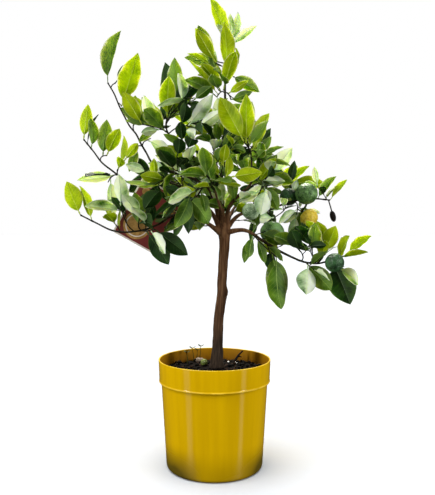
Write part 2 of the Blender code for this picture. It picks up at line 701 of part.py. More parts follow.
def grow_leaves(name, shoots, limbs, taken, spaces):
    """Leaves spiral back from each shoot's tip, each turned until it is clear of the rest."""
    leaves = []
    for number, (row, shoot) in enumerate(zip(MASSES[name][3], shoots)):
        for i in range(row[2]):
            for extra in TURNS_TRIED:
                rings = leaf_on(shoot, row, name, number, i, extra)
                if rings is None or not in_space(name, rings[2:], spaces):
                    continue
                blade = body_of(loft(rings[1:]))
                if touches(blade, taken) or touches(body_of(loft(rings)), limbs):
                    continue
                leaves.append(rings)
                taken.append(blade)
                break
    return leaves


def fruit_shape(centre, diameter):
    shape = bmesh.new()
    bmesh.ops.create_icosphere(shape, subdivisions=2, radius=diameter / 2)
    shape.transform(Matrix.Translation(centre) @ Matrix.Diagonal((1, 1, FRUIT_FLATTENING, 1)))
    return shape


def fruit_on(twigs, name, number, share, centre, diameter):
    """A fruit and the stalk that it hangs by."""
    centre = Vector(centre)
    hang, _ = place_along(twigs[name][number][0], share)
    stalk = [hang, hang.lerp(centre, 0.5) + Vector((0, 0, STALK_ARCH)), centre]
    return [loft(tube_rings(stalk, [STALK_RADIUS] * 3, 3)), fruit_shape(centre, diameter)]


def make_foliage():
    twigs = {name: grow_shoots(name) for name in MASSES}
    spaces = {name: space_knots(shoots) for name, shoots in twigs.items()}
    limbs = [body_of(loft(trunk_rings(GAP)))]
    limbs += [body_of(loft(bough_rings(name, GAP))) for name in BOUGHS]
    card = bmesh.new()
    card.from_mesh(bpy.data.objects["label_card"].data)
    taken = [body_of(card)]
    for shoots in twigs.values():
        taken += [body_of(loft(tube_rings(path, [TWIG_ROOM * radius for radius in radii], 3)))
                  for path, radii in shoots]
    for _, _, _, centre, diameter in FRUIT:
        taken.append(body_of(fruit_shape(Vector(centre), diameter + FRUIT_ROOM)))
    for name, shoots in twigs.items():
        pieces = [loft(tube_rings(path, radii, 3)) for path, radii in shoots]
        leaves = grow_leaves(name, shoots, limbs, taken, spaces)
        pieces += [loft(rings) for rings in leaves]
        for row in FRUIT:
            if row[0] == name:
                pieces += fruit_on(twigs, *row)
        fuse(name, pieces, "leaf")
        print(name, len(leaves), "leaves of", sum(row[2] for row in MASSES[name][3]))


def main():
    clear_scene()
    make_pot()
    make_soil()
    make_limbs()
    make_card()
    make_foliage()


main()
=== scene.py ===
import math
import random

import bmesh
import bpy
from mathutils import Matrix, Vector, noise
from mathutils.bvhtree import BVHTree


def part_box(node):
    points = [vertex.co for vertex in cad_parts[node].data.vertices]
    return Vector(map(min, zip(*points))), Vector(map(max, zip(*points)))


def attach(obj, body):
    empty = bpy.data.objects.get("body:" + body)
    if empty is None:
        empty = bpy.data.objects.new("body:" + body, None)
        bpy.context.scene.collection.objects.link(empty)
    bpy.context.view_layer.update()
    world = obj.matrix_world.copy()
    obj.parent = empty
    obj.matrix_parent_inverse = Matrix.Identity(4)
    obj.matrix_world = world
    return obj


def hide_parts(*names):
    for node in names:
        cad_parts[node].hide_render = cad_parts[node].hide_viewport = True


# a potted yuzu tree in a studio: bark, twigs, leaves, fruit, compost, card and pot are made
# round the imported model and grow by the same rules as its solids
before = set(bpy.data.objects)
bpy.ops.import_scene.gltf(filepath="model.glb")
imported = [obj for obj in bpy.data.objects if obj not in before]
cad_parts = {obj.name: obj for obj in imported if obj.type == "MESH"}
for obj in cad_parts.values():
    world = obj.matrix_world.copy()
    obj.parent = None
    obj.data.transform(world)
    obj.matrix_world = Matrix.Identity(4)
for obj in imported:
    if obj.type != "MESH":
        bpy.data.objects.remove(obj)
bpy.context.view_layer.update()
mm = 0.001
gap = 0.3 * mm
upright = Vector((0, 0, 1))
right = Vector((1, 0, 0))
away = Vector((0, 1, 0))


# Materials

# sRGB hex to the linear colour that shaders take
def linear(hexColour):
    shares = [int(hexColour[i:i + 2], 16) / 255 for i in (1, 3, 5)]
    toned = [c / 12.92 if c <= 0.04045 else ((c + 0.055) / 1.055) ** 2.4 for c in shares]
    return (*toned, 1.0)


# how often a pattern of this size in millimetres repeats in a metre
def every(size):
    return 1 / (size * mm)


# links (node, output) pairs to a node's sockets
def linkTo(tree, node, links):
    for key, (source, output) in links.items():
        tree.links.new(source.outputs[output], node.inputs[key])


# adds one node: settings are its own options, values its sockets, links (node, output) pairs
def addNode(tree, kind, settings=None, values=None, links=None):
    node = tree.nodes.new(kind)
    for key, value in (settings or {}).items():
        if key == "stops":  # the places and colours of a colour ramp
            elements = node.color_ramp.elements
            while len(elements) < len(value):
                elements.new(0.5)
            for element, (place, colour) in zip(elements, value):
                element.position = place
                element.color = linear(colour)
        else:
            setattr(node, key, value)
    for key, value in (values or {}).items():
        node.inputs[key].default_value = value
    linkTo(tree, node, links or {})
    return node


# a new material with its tree and its Principled shader, whose plain values are set here
def startMaterial(name, roughness, ior=1.45, metallic=0.0, **more):
    made = bpy.data.materials.new(name)
    made.use_nodes = True
    tree = made.node_tree
    shader = tree.nodes["Principled BSDF"]
    shader.inputs["Roughness"].default_value = roughness
    shader.inputs["IOR"].default_value = ior
    shader.inputs["Metallic"].default_value = metallic
    for key, value in more.items():
        shader.inputs[key.replace("_", " ")].default_value = value
    return made, tree, shader


# the share of painted shade on the pot's outside: an olive darkening that fades out over its
# lowest 60 mm
def paintedFootShade(tree, place):
    apart = addNode(tree, "ShaderNodeSeparateXYZ", links={0: (place, "Object")})
    low = addNode(tree, "ShaderNodeMapRange", {"interpolation_type": "SMOOTHSTEP"},
                  {"From Min": 0.060, "From Max": -0.002, "To Max": 1.5},
                  {0: (apart, "Z")})
    # the painted shade is deepest on the left and right flanks, the left one above all
    shifted = addNode(tree, "ShaderNodeMath", {"operation": "SUBTRACT"}, {1: 0.012},
                      {0: (apart, "X")})
    flank = addNode(tree, "ShaderNodeMath", {"operation": "ABSOLUTE"}, links={0: (shifted, 0)})
    more = addNode(tree, "ShaderNodeMapRange", values={
        "From Min": 0.03, "From Max": 0.08, "To Min": 0.58, "To Max": 1.8},
        links={0: (flank, 0)})
    uneven = addNode(tree, "ShaderNodeMath", {"operation": "MULTIPLY"},
                     links={0: (low, 0), 1: (more, 0)})
    # patches of painted shade about 60 mm across
    patch = addNode(tree, "ShaderNodeTexNoise", values={"Scale": every(62.5), "Detail": 1},
                    links={"Vector": (place, "Object")})
    share = addNode(tree, "ShaderNodeMapRange", values={
        "From Min": 0.3, "From Max": 0.7, "To Min": 0.42, "To Max": 0.58},
        links={0: (patch, 0)})
    return addNode(tree, "ShaderNodeMath", {"operation": "MULTIPLY", "use_clamp": True},
                   links={0: (uneven, 0), 1: (share, 0)})


# injection-moulded polypropylene: even yellow with a low gloss, long faint paler streaks painted
# as streaky reflections, and an olive painted shade that deepens towards the foot and the flanks
def mouldedPolypropylene():
    made, tree, shader = startMaterial("mouldedPolypropylene", 0.2, 1.49,
                                       Specular_IOR_Level=0.3)
    place = addNode(tree, "ShaderNodeTexCoord")
    # faint paler streaks 12 mm apart round the pot and about 330 mm long, painted as streaky
    # reflections
    long = addNode(tree, "ShaderNodeMapping",
                   values={"Scale": (every(12.5), every(12.5), every(333.3))},
                   links={"Vector": (place, "Object")})
    paintedReflectionStreak = addNode(tree, "ShaderNodeTexNoise", values={"Scale": 1, "Detail": 2},
                     links={"Vector": (long, 0)})
    body = addNode(tree, "ShaderNodeValToRGB",
                   {"stops": [(0.30, "#D0A400"), (0.70, "#DAAE00")]}, links={0: (paintedReflectionStreak, 0)})
    # the olive painted shade towards the foot and on the flanks, which also dulls the gloss
    footShade = paintedFootShade(tree, place)
    colour = addNode(tree, "ShaderNodeMix", {"data_type": "RGBA"}, {7: linear("#5A4A00")},
                     {0: (footShade, 0), 6: (body, 0)})
    dull = addNode(tree, "ShaderNodeMapRange", values={"To Min": 0.12, "To Max": 0.5},
                   links={0: (footShade, 0)})
    # an orange-peel ripple 4 mm across, drawn coarser than the real one so that it shows
    ripple = addNode(tree, "ShaderNodeTexNoise", values={"Scale": every(4), "Detail": 1},
                     links={"Vector": (place, "Object")})
    bump = addNode(tree, "ShaderNodeBump", values={"Strength": 0.05, "Distance": 0.4 * mm},
                   links={"Height": (ripple, 0)})
    linkTo(tree, shader, {"Base Color": (colour, 2), "Roughness": (dull, 0),
                          "Normal": (bump, 0)})
    return made


# the same plastic on the rim and the collar's lower edge, painted pale and bright as a highlight
# along these edges
def edgeHighlightPolypropylene():
    made, tree, shader = startMaterial("edgeHighlightPolypropylene", 0.35, 1.49,
                                       Specular_IOR_Level=0.2)
    place = addNode(tree, "ShaderNodeTexCoord")
    # patches of the painted highlight about 14 mm long
    highlightPatch = addNode(tree, "ShaderNodeTexNoise", values={"Scale": every(14.29), "Detail": 3},
                   links={"Vector": (place, "Object")})
    shade = addNode(tree, "ShaderNodeValToRGB",
                    {"stops": [(0.35, "#D2AA10"), (0.65, "#EAC436")]}, links={0: (highlightPatch, 0)})
    linkTo(tree, shader, {"Base Color": (shade, 0)})
    return made


# the same plastic inside the rim, painted a darker ochre as the shade inside the pot, and darker
# still in blotches just above the compost
def shadedInnerPolypropylene():
    made, tree, shader = startMaterial("shadedInnerPolypropylene", 0.6, 1.49,
                                       Specular_IOR_Level=0.1)
    place = addNode(tree, "ShaderNodeTexCoord")
    apart = addNode(tree, "ShaderNodeSeparateXYZ", links={0: (place, "Object")})
    # the darkening grows over the last 20 mm above the compost
    near = addNode(tree, "ShaderNodeMapRange", values={
        "From Min": 0.186, "From Max": 0.166, "To Max": 0.9}, links={0: (apart, "Z")})
    # blotches about 12 mm across
    patch = addNode(tree, "ShaderNodeTexNoise", values={"Scale": every(11.765), "Detail": 8},
                    links={"Vector": (place, "Object")})
    lowDarkening = addNode(tree, "ShaderNodeMath", {"operation": "MULTIPLY", "use_clamp": True},
                   links={0: (near, 0), 1: (patch, 0)})
    shade = addNode(tree, "ShaderNodeValToRGB", {"stops": [
        (0.0, "#9C6C03"), (0.35, "#825604"), (0.55, "#4E3206"), (0.85, "#181006")]},
        links={0: (lowDarkening, 0)})
    bump = addNode(tree, "ShaderNodeBump", values={"Strength": 0.3, "Distance": 0.6 * mm},
                   links={"Height": (lowDarkening, 0)})
    linkTo(tree, shader, {"Base Color": (shade, 0), "Normal": (bump, 0)})
    return made


# damp peat compost: near black in its hollows, brown where crumbs dry out, with no gloss
def dampPeat():
    made, tree, shader = startMaterial("dampPeat", 0.92, 1.4, Specular_IOR_Level=0.05)
    place = addNode(tree, "ShaderNodeTexCoord")
    # crumbs 3 mm across
    crumb = addNode(tree, "ShaderNodeTexNoise", values={"Scale": every(3.03), "Detail": 6},
                    links={"Vector": (place, "Object")})
    shade = addNode(tree, "ShaderNodeValToRGB", {"stops": [
        (0.30, "#060403"), (0.55, "#0E0A07"), (0.75, "#20170F")]}, links={0: (crumb, 0)})
    bump = addNode(tree, "ShaderNodeBump", values={"Strength": 0.8, "Distance": 1 * mm},
                   links={"Height": (crumb, 0)})
    linkTo(tree, shader, {"Base Color": (shade, 0), "Normal": (bump, 0)})
    return made


# anything small and dull in two shades, such as grit, ink or dried stems; its specks' size is
# in millimetres
def mottled(name, dark, light, roughness, speck, sheen=0.5):
    made, tree, shader = startMaterial(name, roughness, Specular_IOR_Level=sheen)
    place = addNode(tree, "ShaderNodeTexCoord")
    spots = addNode(tree, "ShaderNodeTexNoise", values={"Scale": every(speck), "Detail": 4},
                    links={"Vector": (place, "Object")})
    shade = addNode(tree, "ShaderNodeValToRGB", {"stops": [(0.35, dark), (0.65, light)]},
                    links={0: (spots, 0)})
    bump = addNode(tree, "ShaderNodeBump", values={"Strength": 0.4, "Distance": speck * mm / 6},
                   links={"Height": (spots, 0)})
    linkTo(tree, shader, {"Base Color": (shade, 0), "Normal": (bump, 0)})
    return made


# citrus bark: thin smooth bark with long grey and tan lines, warm under the fork, and painted
# darker grey-brown towards the compost as shade; the boughs are dark olive, painted darker as
# shade
def ridgedBark():
    made, tree, shader = startMaterial("ridgedBark", 0.85, 1.45, Specular_IOR_Level=0.15)
    place = addNode(tree, "ShaderNodeTexCoord")
    apart = addNode(tree, "ShaderNodeSeparateXYZ", links={0: (place, "Object")})
    # lines 2.5 mm apart and 29 mm long
    long = addNode(tree, "ShaderNodeMapping",
                   values={"Scale": (every(2.5), every(2.5), every(29.41))},
                   links={"Vector": (place, "Object")})
    lines = addNode(tree, "ShaderNodeTexNoise", values={"Scale": 1, "Detail": 4},
                    links={"Vector": (long, 0)})
    warm = addNode(tree, "ShaderNodeValToRGB", {"stops": [
        (0.28, "#503520"), (0.50, "#724F34"), (0.74, "#926D4A")]}, links={0: (lines, 0)})
    paintedLowShade = addNode(tree, "ShaderNodeValToRGB", {"stops": [
        (0.28, "#1E1712"), (0.50, "#2E241B"), (0.75, "#43362A")]}, links={0: (lines, 0)})
    shadedBoughBark = addNode(tree, "ShaderNodeValToRGB", {"stops": [
        (0.30, "#151209"), (0.55, "#2C2716"), (0.75, "#4A4228")]}, links={0: (lines, 0)})
    # the edges of the painted shade waver over about 29 mm
    cloud = addNode(tree, "ShaderNodeTexNoise", values={"Scale": every(29.41), "Detail": 3},
                    links={"Vector": (place, "Object")})
    height = addNode(tree, "ShaderNodeMath", {"operation": "MULTIPLY_ADD"}, {1: 0.09},
                     {0: (cloud, 0), 2: (apart, "Z")})
    rise = addNode(tree, "ShaderNodeMapRange", values={"From Min": 0.25, "From Max": 0.40},
                   links={0: (height, 0)})
    lowShaded = addNode(tree, "ShaderNodeMix", {"data_type": "RGBA"},
                    links={0: (rise, 0), 6: (paintedLowShade, 0), 7: (warm, 0)})
    # boughs above the fork, and away from the trunk, have a younger, dark olive bark, painted
    # darker still as shade
    fork = addNode(tree, "ShaderNodeMapRange", values={"From Min": 0.48, "From Max": 0.56},
                   links={0: (height, 0)})
    aside = addNode(tree, "ShaderNodeMath", {"operation": "SUBTRACT"}, {1: 0.014},
                    {0: (apart, "X")})
    out = addNode(tree, "ShaderNodeMath", {"operation": "ABSOLUTE"}, links={0: (aside, 0)})
    far = addNode(tree, "ShaderNodeMapRange", values={"From Min": 0.028, "From Max": 0.075},
                  links={0: (out, 0)})
    young = addNode(tree, "ShaderNodeMath", {"operation": "MAXIMUM"},
                    links={0: (fork, 0), 1: (far, 0)})
    colour = addNode(tree, "ShaderNodeMix", {"data_type": "RGBA"},
                     links={0: (young, 0), 6: (lowShaded, 2), 7: (shadedBoughBark, 0)})
    bump = addNode(tree, "ShaderNodeBump", values={"Strength": 0.5, "Distance": 0.5 * mm},
                   links={"Height": (lines, 0)})
    linkTo(tree, shader, {"Base Color": (colour, 2), "Normal": (bump, 0)})
    return made


# one face of a leaf: a glossy cuticle over paler side veins, mottled over a few centimetres, with
# a pale painted sheen.
# Its "blade" map runs from -1 to 1 across the leaf and from 0 to 1 along it
def cuticle(name, dark, light, vein, roughness, veinRelief, sheen, glow, paintedSheenShare):
    made, tree, shader = startMaterial(name, roughness, 1.45, Specular_IOR_Level=sheen,
                                       Subsurface_Weight=glow, Subsurface_Scale=0.003,
                                       Subsurface_Radius=(0.8, 1.0, 0.3))
    place = addNode(tree, "ShaderNodeTexCoord")
    # clouds of lighter green 22 mm across
    cloud = addNode(tree, "ShaderNodeTexNoise", values={"Scale": every(22.22), "Detail": 3},
                    links={"Vector": (place, "Object")})
    ground = addNode(tree, "ShaderNodeValToRGB", {"stops": [(0.3, dark), (0.7, light)]},
                     links={0: (cloud, 0)})
    blade = addNode(tree, "ShaderNodeUVMap", {"uv_map": "blade"})
    apart = addNode(tree, "ShaderNodeSeparateXYZ", links={0: (blade, 0)})
    # a pale painted sheen lies on one half of the blade and fades over the midrib
    half = addNode(tree, "ShaderNodeMath", {"operation": "MULTIPLY_ADD"}, {1: 1.6},
                   {0: (cloud, 0), 2: (apart, "X")})
    sheenMask = addNode(tree, "ShaderNodeMapRange", {"interpolation_type": "SMOOTHSTEP"},
                  {"From Min": -0.1, "From Max": 1.2, "To Max": paintedSheenShare}, {0: (half, 0)})
    sheened = addNode(tree, "ShaderNodeMix", {"data_type": "RGBA"}, {7: linear("#E4F8C6")},
                    {0: (sheenMask, 0), 6: (ground, 0)})
    # ten side veins leave the midrib, every 8 mm or so, and sweep towards the tip
    across = addNode(tree, "ShaderNodeMath", {"operation": "ABSOLUTE"}, links={0: (apart, "X")})
    sweep = addNode(tree, "ShaderNodeMath", {"operation": "MULTIPLY"}, {1: -1.9},
                    {0: (across, 0)})
    along = addNode(tree, "ShaderNodeMath", {"operation": "MULTIPLY_ADD"}, {1: 10},
                    {0: (apart, "Y"), 2: (sweep, 0)})
    beat = addNode(tree, "ShaderNodeMath", {"operation": "PINGPONG"}, {1: 0.5},
                   {0: (along, 0)})
    line = addNode(tree, "ShaderNodeMapRange", {"interpolation_type": "SMOOTHSTEP"},
                   {"From Min": 0.11, "From Max": 0.0, "To Max": 0.22}, {0: (beat, 0)})
    # the thin margin is as pale as a vein: a painted highlight of light shining through the edge
    margin = addNode(tree, "ShaderNodeMapRange", {"interpolation_type": "SMOOTHSTEP"},
                     {"From Min": 0.86, "From Max": 0.98, "To Max": 0.55}, {0: (across, 0)})
    pale = addNode(tree, "ShaderNodeMath", {"operation": "MAXIMUM"},
                   links={0: (line, 0), 1: (margin, 0)})
    colour = addNode(tree, "ShaderNodeMix", {"data_type": "RGBA"}, {7: linear(vein)},
                     {0: (pale, 0), 6: (sheened, 2)})
    bump = addNode(tree, "ShaderNodeBump", values={"Strength": 0.5, "Distance": veinRelief},
                   links={"Height": (line, 0)})
    linkTo(tree, shader, {"Base Color": (colour, 2), "Normal": (bump, 0)})
    return made


# yuzu peel: thick oily rind, darker in the pits between its warts, with a low wax gloss
def oilyPeel(name, pit, ground, wart):
    made, tree, shader = startMaterial(name, 0.34, 1.47, Specular_IOR_Level=0.3)
    place = addNode(tree, "ShaderNodeTexCoord")
    # oil glands 1.6 mm apart, drawn about twice their size so that they show
    gland = addNode(tree, "ShaderNodeTexVoronoi", {"feature": "SMOOTH_F1"},
                    {"Scale": every(1.613)}, {"Vector": (place, "Object")})
    shade = addNode(tree, "ShaderNodeValToRGB", {"stops": [
        (0.10, pit), (0.45, ground), (0.85, wart)]}, links={0: (gland, 0)})
    # lighter clouds 11 mm across
    cloud = addNode(tree, "ShaderNodeTexNoise", values={"Scale": every(11.11), "Detail": 3},
                    links={"Vector": (place, "Object")})
    share = addNode(tree, "ShaderNodeMapRange", values={"From Min": 0.35, "From Max": 0.7},
                    links={0: (cloud, 0)})
    colour = addNode(tree, "ShaderNodeMix", {"data_type": "RGBA"}, {7: linear(wart)},
                     {0: (share, 0), 6: (shade, 0)})
    bump = addNode(tree, "ShaderNodeBump", values={"Strength": 0.9, "Distance": 1 * mm},
                   links={"Height": (gland, 0)})
    linkTo(tree, shader, {"Base Color": (colour, 2), "Normal": (bump, 0)})
    return made


# Shapes

# collects one piece's points, faces, material numbers and leaf coordinates
def newShape():
    return {"points": [], "faces": [], "slots": [], "blade": []}


# joins rings of equal size into a skin; each end is closed by a flat cap if asked
def addSkin(shape, rings, slot=0, capFoot=True, capTip=True):
    first = len(shape["points"])
    count = len(rings[0])
    for ring in rings:
        shape["points"].extend(ring)
    for i in range(len(rings) - 1):
        for j in range(count):
            a = first + i * count + j
            b = first + i * count + (j + 1) % count
            shape["faces"].append((a, b, b + count, a + count))
            shape["slots"].append(slot)
    if capFoot:
        shape["faces"].append(tuple(first + j for j in reversed(range(count))))
        shape["slots"].append(slot)
    if capTip:
        last = first + (len(rings) - 1) * count
        shape["faces"].append(tuple(last + j for j in range(count)))
        shape["slots"].append(slot)


# puts a mesh, a lamp or a camera into the scene
def linked(name, data):
    obj = bpy.data.objects.new(name, data)
    bpy.context.scene.collection.objects.link(obj)
    return obj


# a piece made of a shape, whose edges sharper than the crease, in degrees, stay sharp
def toObject(shape, name, materials, smooth=True, crease=70):
    mesh = bpy.data.meshes.new(name)
    mesh.from_pydata(shape["points"], [], shape["faces"])
    mesh.polygons.foreach_set("material_index", shape["slots"])
    mesh.polygons.foreach_set("use_smooth", [smooth] * len(mesh.polygons))
    if shape["blade"]:
        layer = mesh.uv_layers.new(name="blade")
        for loop in mesh.loops:
            layer.data[loop.index].uv = shape["blade"][loop.vertex_index]
    for made in materials:
        mesh.materials.append(made)
    mesh.update()
    if smooth:
        mesh.set_sharp_from_angle(angle=math.radians(crease))
    return linked(name, mesh)


def ringAbout(centre, side, up, radius, sides):
    turns = [2 * math.pi * i / sides for i in range(sides)]
    return [centre + radius * (math.cos(a) * side + math.sin(a) * up) for a in turns]


# points about a step apart on the curve through all the places
def smoothPath(places, step):
    places = [Vector(place) for place in places]
    ends = [2 * places[0] - places[1], *places, 2 * places[-1] - places[-2]]
    path = [places[0]]
    for a, b, c, d in zip(ends, ends[1:], ends[2:], ends[3:]):
        count = max(1, round((c - b).length / step))
        for i in range(1, count + 1):
            t = i / count
            path.append(0.5 * (2 * b + (c - a) * t + (2 * a - 5 * b + 4 * c - d) * t ** 2
                               + (3 * b - a - 3 * c + d) * t ** 3))
    return path


# the point and direction at a share of a path's length
def placeAlong(path, share):
    lengths = [(b - a).length for a, b in zip(path, path[1:])]
    left = share * sum(lengths)
    for a, b, length in zip(path, path[1:], lengths):
        if left <= length:
            return a.lerp(b, left / length), (b - a).normalized()
        left -= length
    return path[-1].copy(), (path[-1] - path[-2]).normalized()


# rings square to a path, each turned as little as possible from the last
def tubeRings(path, radii, sides):
    rings = []
    side = None
    for i, centre in enumerate(path):
        along = (path[min(i + 1, len(path) - 1)] - path[max(i - 1, 0)]).normalized()
        if side is None:
            side = along.orthogonal().normalized()
        side = (side - side.dot(along) * along).normalized()
        rings.append(ringAbout(centre, side, along.cross(side), radii[i], sides))
    return rings


# limbs and twigs thin fastest at their foot
def thicknessAt(share, foot, tip):
    return foot + (tip - foot) * share ** 0.8


def taper(path, foot, tip):
    return [thicknessAt(i / (len(path) - 1), foot, tip) for i in range(len(path))]


# a closed outline of (radius, height, rounding) corners turned into points with round corners
def rounded(corners, steps=4):
    points = []
    for i, (r, z, rounding) in enumerate(corners):
        corner = Vector((r, z))
        if not rounding or i in (0, len(corners) - 1):
            points.append(corner)
            continue
        before = (Vector(corners[i - 1][:2]) - corner).normalized() * rounding
        after = (Vector(corners[i + 1][:2]) - corner).normalized() * rounding
        for k in range(steps + 1):
            t = k / steps
            points.append(corner + before * (1 - t) ** 2 + after * t ** 2)
    return points


# Limbs, named and placed as in the solids: parent, radius at foot and tip, places passed
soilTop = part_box("trunk")[0].z - gap
trunk = (
    ((0.0035, 0.000, soilTop + gap), 0.0134), ((0.0042, 0.000, 0.186), 0.0112),
    ((0.0056, 0.001, 0.215), 0.0097), ((0.0078, 0.002, 0.262), 0.0090),
    ((0.0122, 0.002, 0.296), 0.0092), ((0.0146, 0.001, 0.309), 0.0099),
    ((0.0134, 0.000, 0.326), 0.0089), ((0.0156, 0.000, 0.362), 0.0087),
    ((0.0178, 0.000, 0.400), 0.0094), ((0.0172, 0.000, 0.424), 0.0118),
    ((0.0166, 0.000, 0.432), 0.0108),
)
boughs = {
    "bough_leader": ("trunk", 0.0046, 0.0022, (
        (0.0160, 0.001, 0.424), (0.0125, 0.002, 0.470), (0.0130, 0.004, 0.535),
        (0.0175, 0.002, 0.600), (0.0190, 0.000, 0.658))),
    "bough_left": ("trunk", 0.0040, 0.0018, (
        (0.0130, 0.002, 0.424), (0.0010, 0.001, 0.468), (-0.0110, 0.003, 0.497),
        (-0.0380, 0.012, 0.515), (-0.0830, 0.022, 0.531), (-0.1120, 0.027, 0.542),
        (-0.1270, 0.028, 0.566))),
    "bough_left_mid": ("trunk", 0.0036, 0.0017, (
        (0.0110, -0.004, 0.422), (-0.0050, -0.009, 0.452), (-0.0320, -0.010, 0.480),
        (-0.0620, -0.006, 0.499), (-0.0980, -0.001, 0.512), (-0.1340, 0.001, 0.513),
        (-0.1560, 0.000, 0.508), (-0.1680, -0.001, 0.516))),
    "bough_left_low": ("trunk", 0.0034, 0.0018, (
        (0.0120, -0.004, 0.416), (-0.0240, -0.020, 0.441), (-0.0490, -0.027, 0.450),
        (-0.0760, -0.031, 0.446), (-0.0950, -0.033, 0.433), (-0.1150, -0.035, 0.424))),
    "bough_right_low": ("trunk", 0.0038, 0.0020, (
        (0.0180, -0.003, 0.417), (0.0540, -0.016, 0.421), (0.0840, -0.026, 0.403),
        (0.1150, -0.033, 0.384), (0.1440, -0.036, 0.370))),
    "bough_right_mid": ("trunk", 0.0036, 0.0019, (
        (0.0190, 0.003, 0.422), (0.0450, 0.016, 0.449), (0.0760, 0.023, 0.455),
        (0.0980, 0.027, 0.457), (0.1210, 0.030, 0.467))),
    "bough_right_upper": ("trunk", 0.0036, 0.0019, (
        (0.0200, -0.003, 0.424), (0.0260, -0.014, 0.462), (0.0450, -0.021, 0.485),
        (0.0640, -0.025, 0.504), (0.0650, -0.027, 0.545))),
    "bough_front": ("trunk", 0.0032, 0.0018, (
        (0.0150, -0.004, 0.424), (0.0120, -0.034, 0.452), (0.0050, -0.070, 0.474),
        (0.0000, -0.104, 0.488))),
    "bough_back_left": ("trunk", 0.0034, 0.0018, (
        (0.0140, 0.005, 0.424), (-0.0060, 0.040, 0.456), (-0.0360, 0.084, 0.486),
        (-0.0600, 0.120, 0.508))),
    "bough_back_right": ("trunk", 0.0034, 0.0018, (
        (0.0190, 0.005, 0.424), (0.0350, 0.045, 0.460), (0.0600, 0.085, 0.488),
        (0.0840, 0.115, 0.504))),
    "bough_left_upper": ("bough_leader", 0.0028, 0.0016, (
        (0.0128, 0.003, 0.512), (-0.0110, -0.002, 0.536), (-0.0380, -0.010, 0.553),
        (-0.0620, -0.014, 0.571), (-0.0780, -0.016, 0.587))),
}
boughStep = 0.022
trunkTop = {"lift": 0.004, "share": 0.6}  # the ring that rounds off the trunk in the fork


def trunkRings(extra, sides=14):
    rings = [ringAbout(Vector(place), right, away, radius + extra, sides)
             for place, radius in trunk]
    crown = Vector(trunk[-1][0]) + upright * (trunkTop["lift"] + extra)
    rings.append(ringAbout(crown, right, away, (trunk[-1][1] + extra) * trunkTop["share"], sides))
    return rings


def boughRings(name, extra, sides=6):
    _, foot, tip, places = boughs[name]
    path = smoothPath(places, boughStep)
    return tubeRings(path, [radius + extra for radius in taper(path, foot, tip)], sides)


wood = {
    "voxel": 0.0009, "trunkSides": 36, "boughSides": 16, "step": 0.004, "smoothing": 4,
    "ridgeSpacing": 0.0034, "ridgeLength": 0.024, "ridgeRelief": 0.00045,
    "lumpSpacing": 0.016, "lumpRelief": 0.0007, "boughRelief": 0.3,
    "buttresses": 3, "buttressTurn": 0.6, "flare": 0.000875, "flareHeight": 0.03,
    "swell": 0.9, "leaderSwell": 0.2, "swellReach": 0.018,
    "stemMiddle": 0.014, "stemReach": 0.02, "cutHeight": 0.0006,
    # how the trunk's top closes: each ring's lift and share of the radius
    "crown": ((0.002, 0.86), (0.0035, 0.6), (0.004, 0.3)),
}


# a bough's own rings, closer together; those that leave the trunk swell at their foot
def fineBoughRings(name):
    parent, foot, tip, places = boughs[name]
    path = smoothPath(places, wood["step"])
    swell = wood["swell"] if parent == "trunk" else wood["leaderSwell"]
    radii = [radius * (1 + swell * math.exp(-i * wood["step"] / wood["swellReach"]))
             for i, radius in enumerate(taper(path, foot, tip))]
    return tubeRings(path, radii, wood["boughSides"])


# the trunk's own rings, closer together, with low buttresses where it widens into the ground
def fineTrunkRings():
    places = [Vector(place) for place, _ in trunk]
    path = smoothPath(places, wood["step"])
    heights = [place.z for place in places]
    radii = [radius for _, radius in trunk]
    sides = wood["trunkSides"]
    rings = []
    for centre in path:
        k = max(i for i in range(len(heights) - 1) if heights[i] <= centre.z + 1e-9)
        t = (centre.z - heights[k]) / (heights[k + 1] - heights[k])
        radius = radii[k] + (radii[k + 1] - radii[k]) * (3 * t * t - 2 * t ** 3)
        low = max(0, 1 - (centre.z - heights[0]) / wood["flareHeight"]) ** 2
        ring = []
        for i in range(sides):
            turn = 2 * math.pi * i / sides
            buttress = 1 + math.cos(wood["buttresses"] * turn + wood["buttressTurn"])
            spread = radius + wood["flare"] * low * buttress
            ring.append(centre + spread * (math.cos(turn) * right + math.sin(turn) * away))
        rings.append(ring)
    for lift, share in wood["crown"]:
        rings.append(ringAbout(path[-1] + upright * lift, right, away, radii[-1] * share, sides))
    return rings


# melts the limbs together at their crotches into one skin
def meltTogether(obj):
    melt = obj.modifiers.new("melt", "REMESH")
    melt.mode = "VOXEL"
    melt.voxel_size = wood["voxel"]
    soften = obj.modifiers.new("soften", "CORRECTIVE_SMOOTH")
    soften.smooth_type = "LENGTH_WEIGHTED"
    soften.iterations = wood["smoothing"]
    soften.use_only_smooth = True
    graph = bpy.context.evaluated_depsgraph_get()
    melted = bpy.data.meshes.new_from_object(obj.evaluated_get(graph))
    obj.modifiers.clear()
    obj.data = melted


# long ridges and soft lumps, strong on the trunk and faint on the boughs
def carveBark(mesh):
    ground, fork = trunk[0][0][2], trunk[-1][0][2]
    normals = [vert.normal.copy() for vert in mesh.vertices]
    for vert, normal in zip(mesh.vertices, normals):
        place = vert.co
        if place.z < ground + wood["cutHeight"]:
            continue  # the cut at ground level stays flat
        aside = math.hypot(place.x - wood["stemMiddle"], place.y)
        stout = 1 if place.z < fork and aside < wood["stemReach"] else wood["boughRelief"]
        ridge = noise.noise(Vector((place.x / wood["ridgeSpacing"],
                                    place.y / wood["ridgeSpacing"],
                                    place.z / wood["ridgeLength"])))
        lump = noise.noise(place / wood["lumpSpacing"])
        vert.co = place + normal * stout * (ridge * wood["ridgeRelief"]
                                            + lump * wood["lumpRelief"])
    mesh.polygons.foreach_set("use_smooth", [True] * len(mesh.polygons))
    mesh.update()


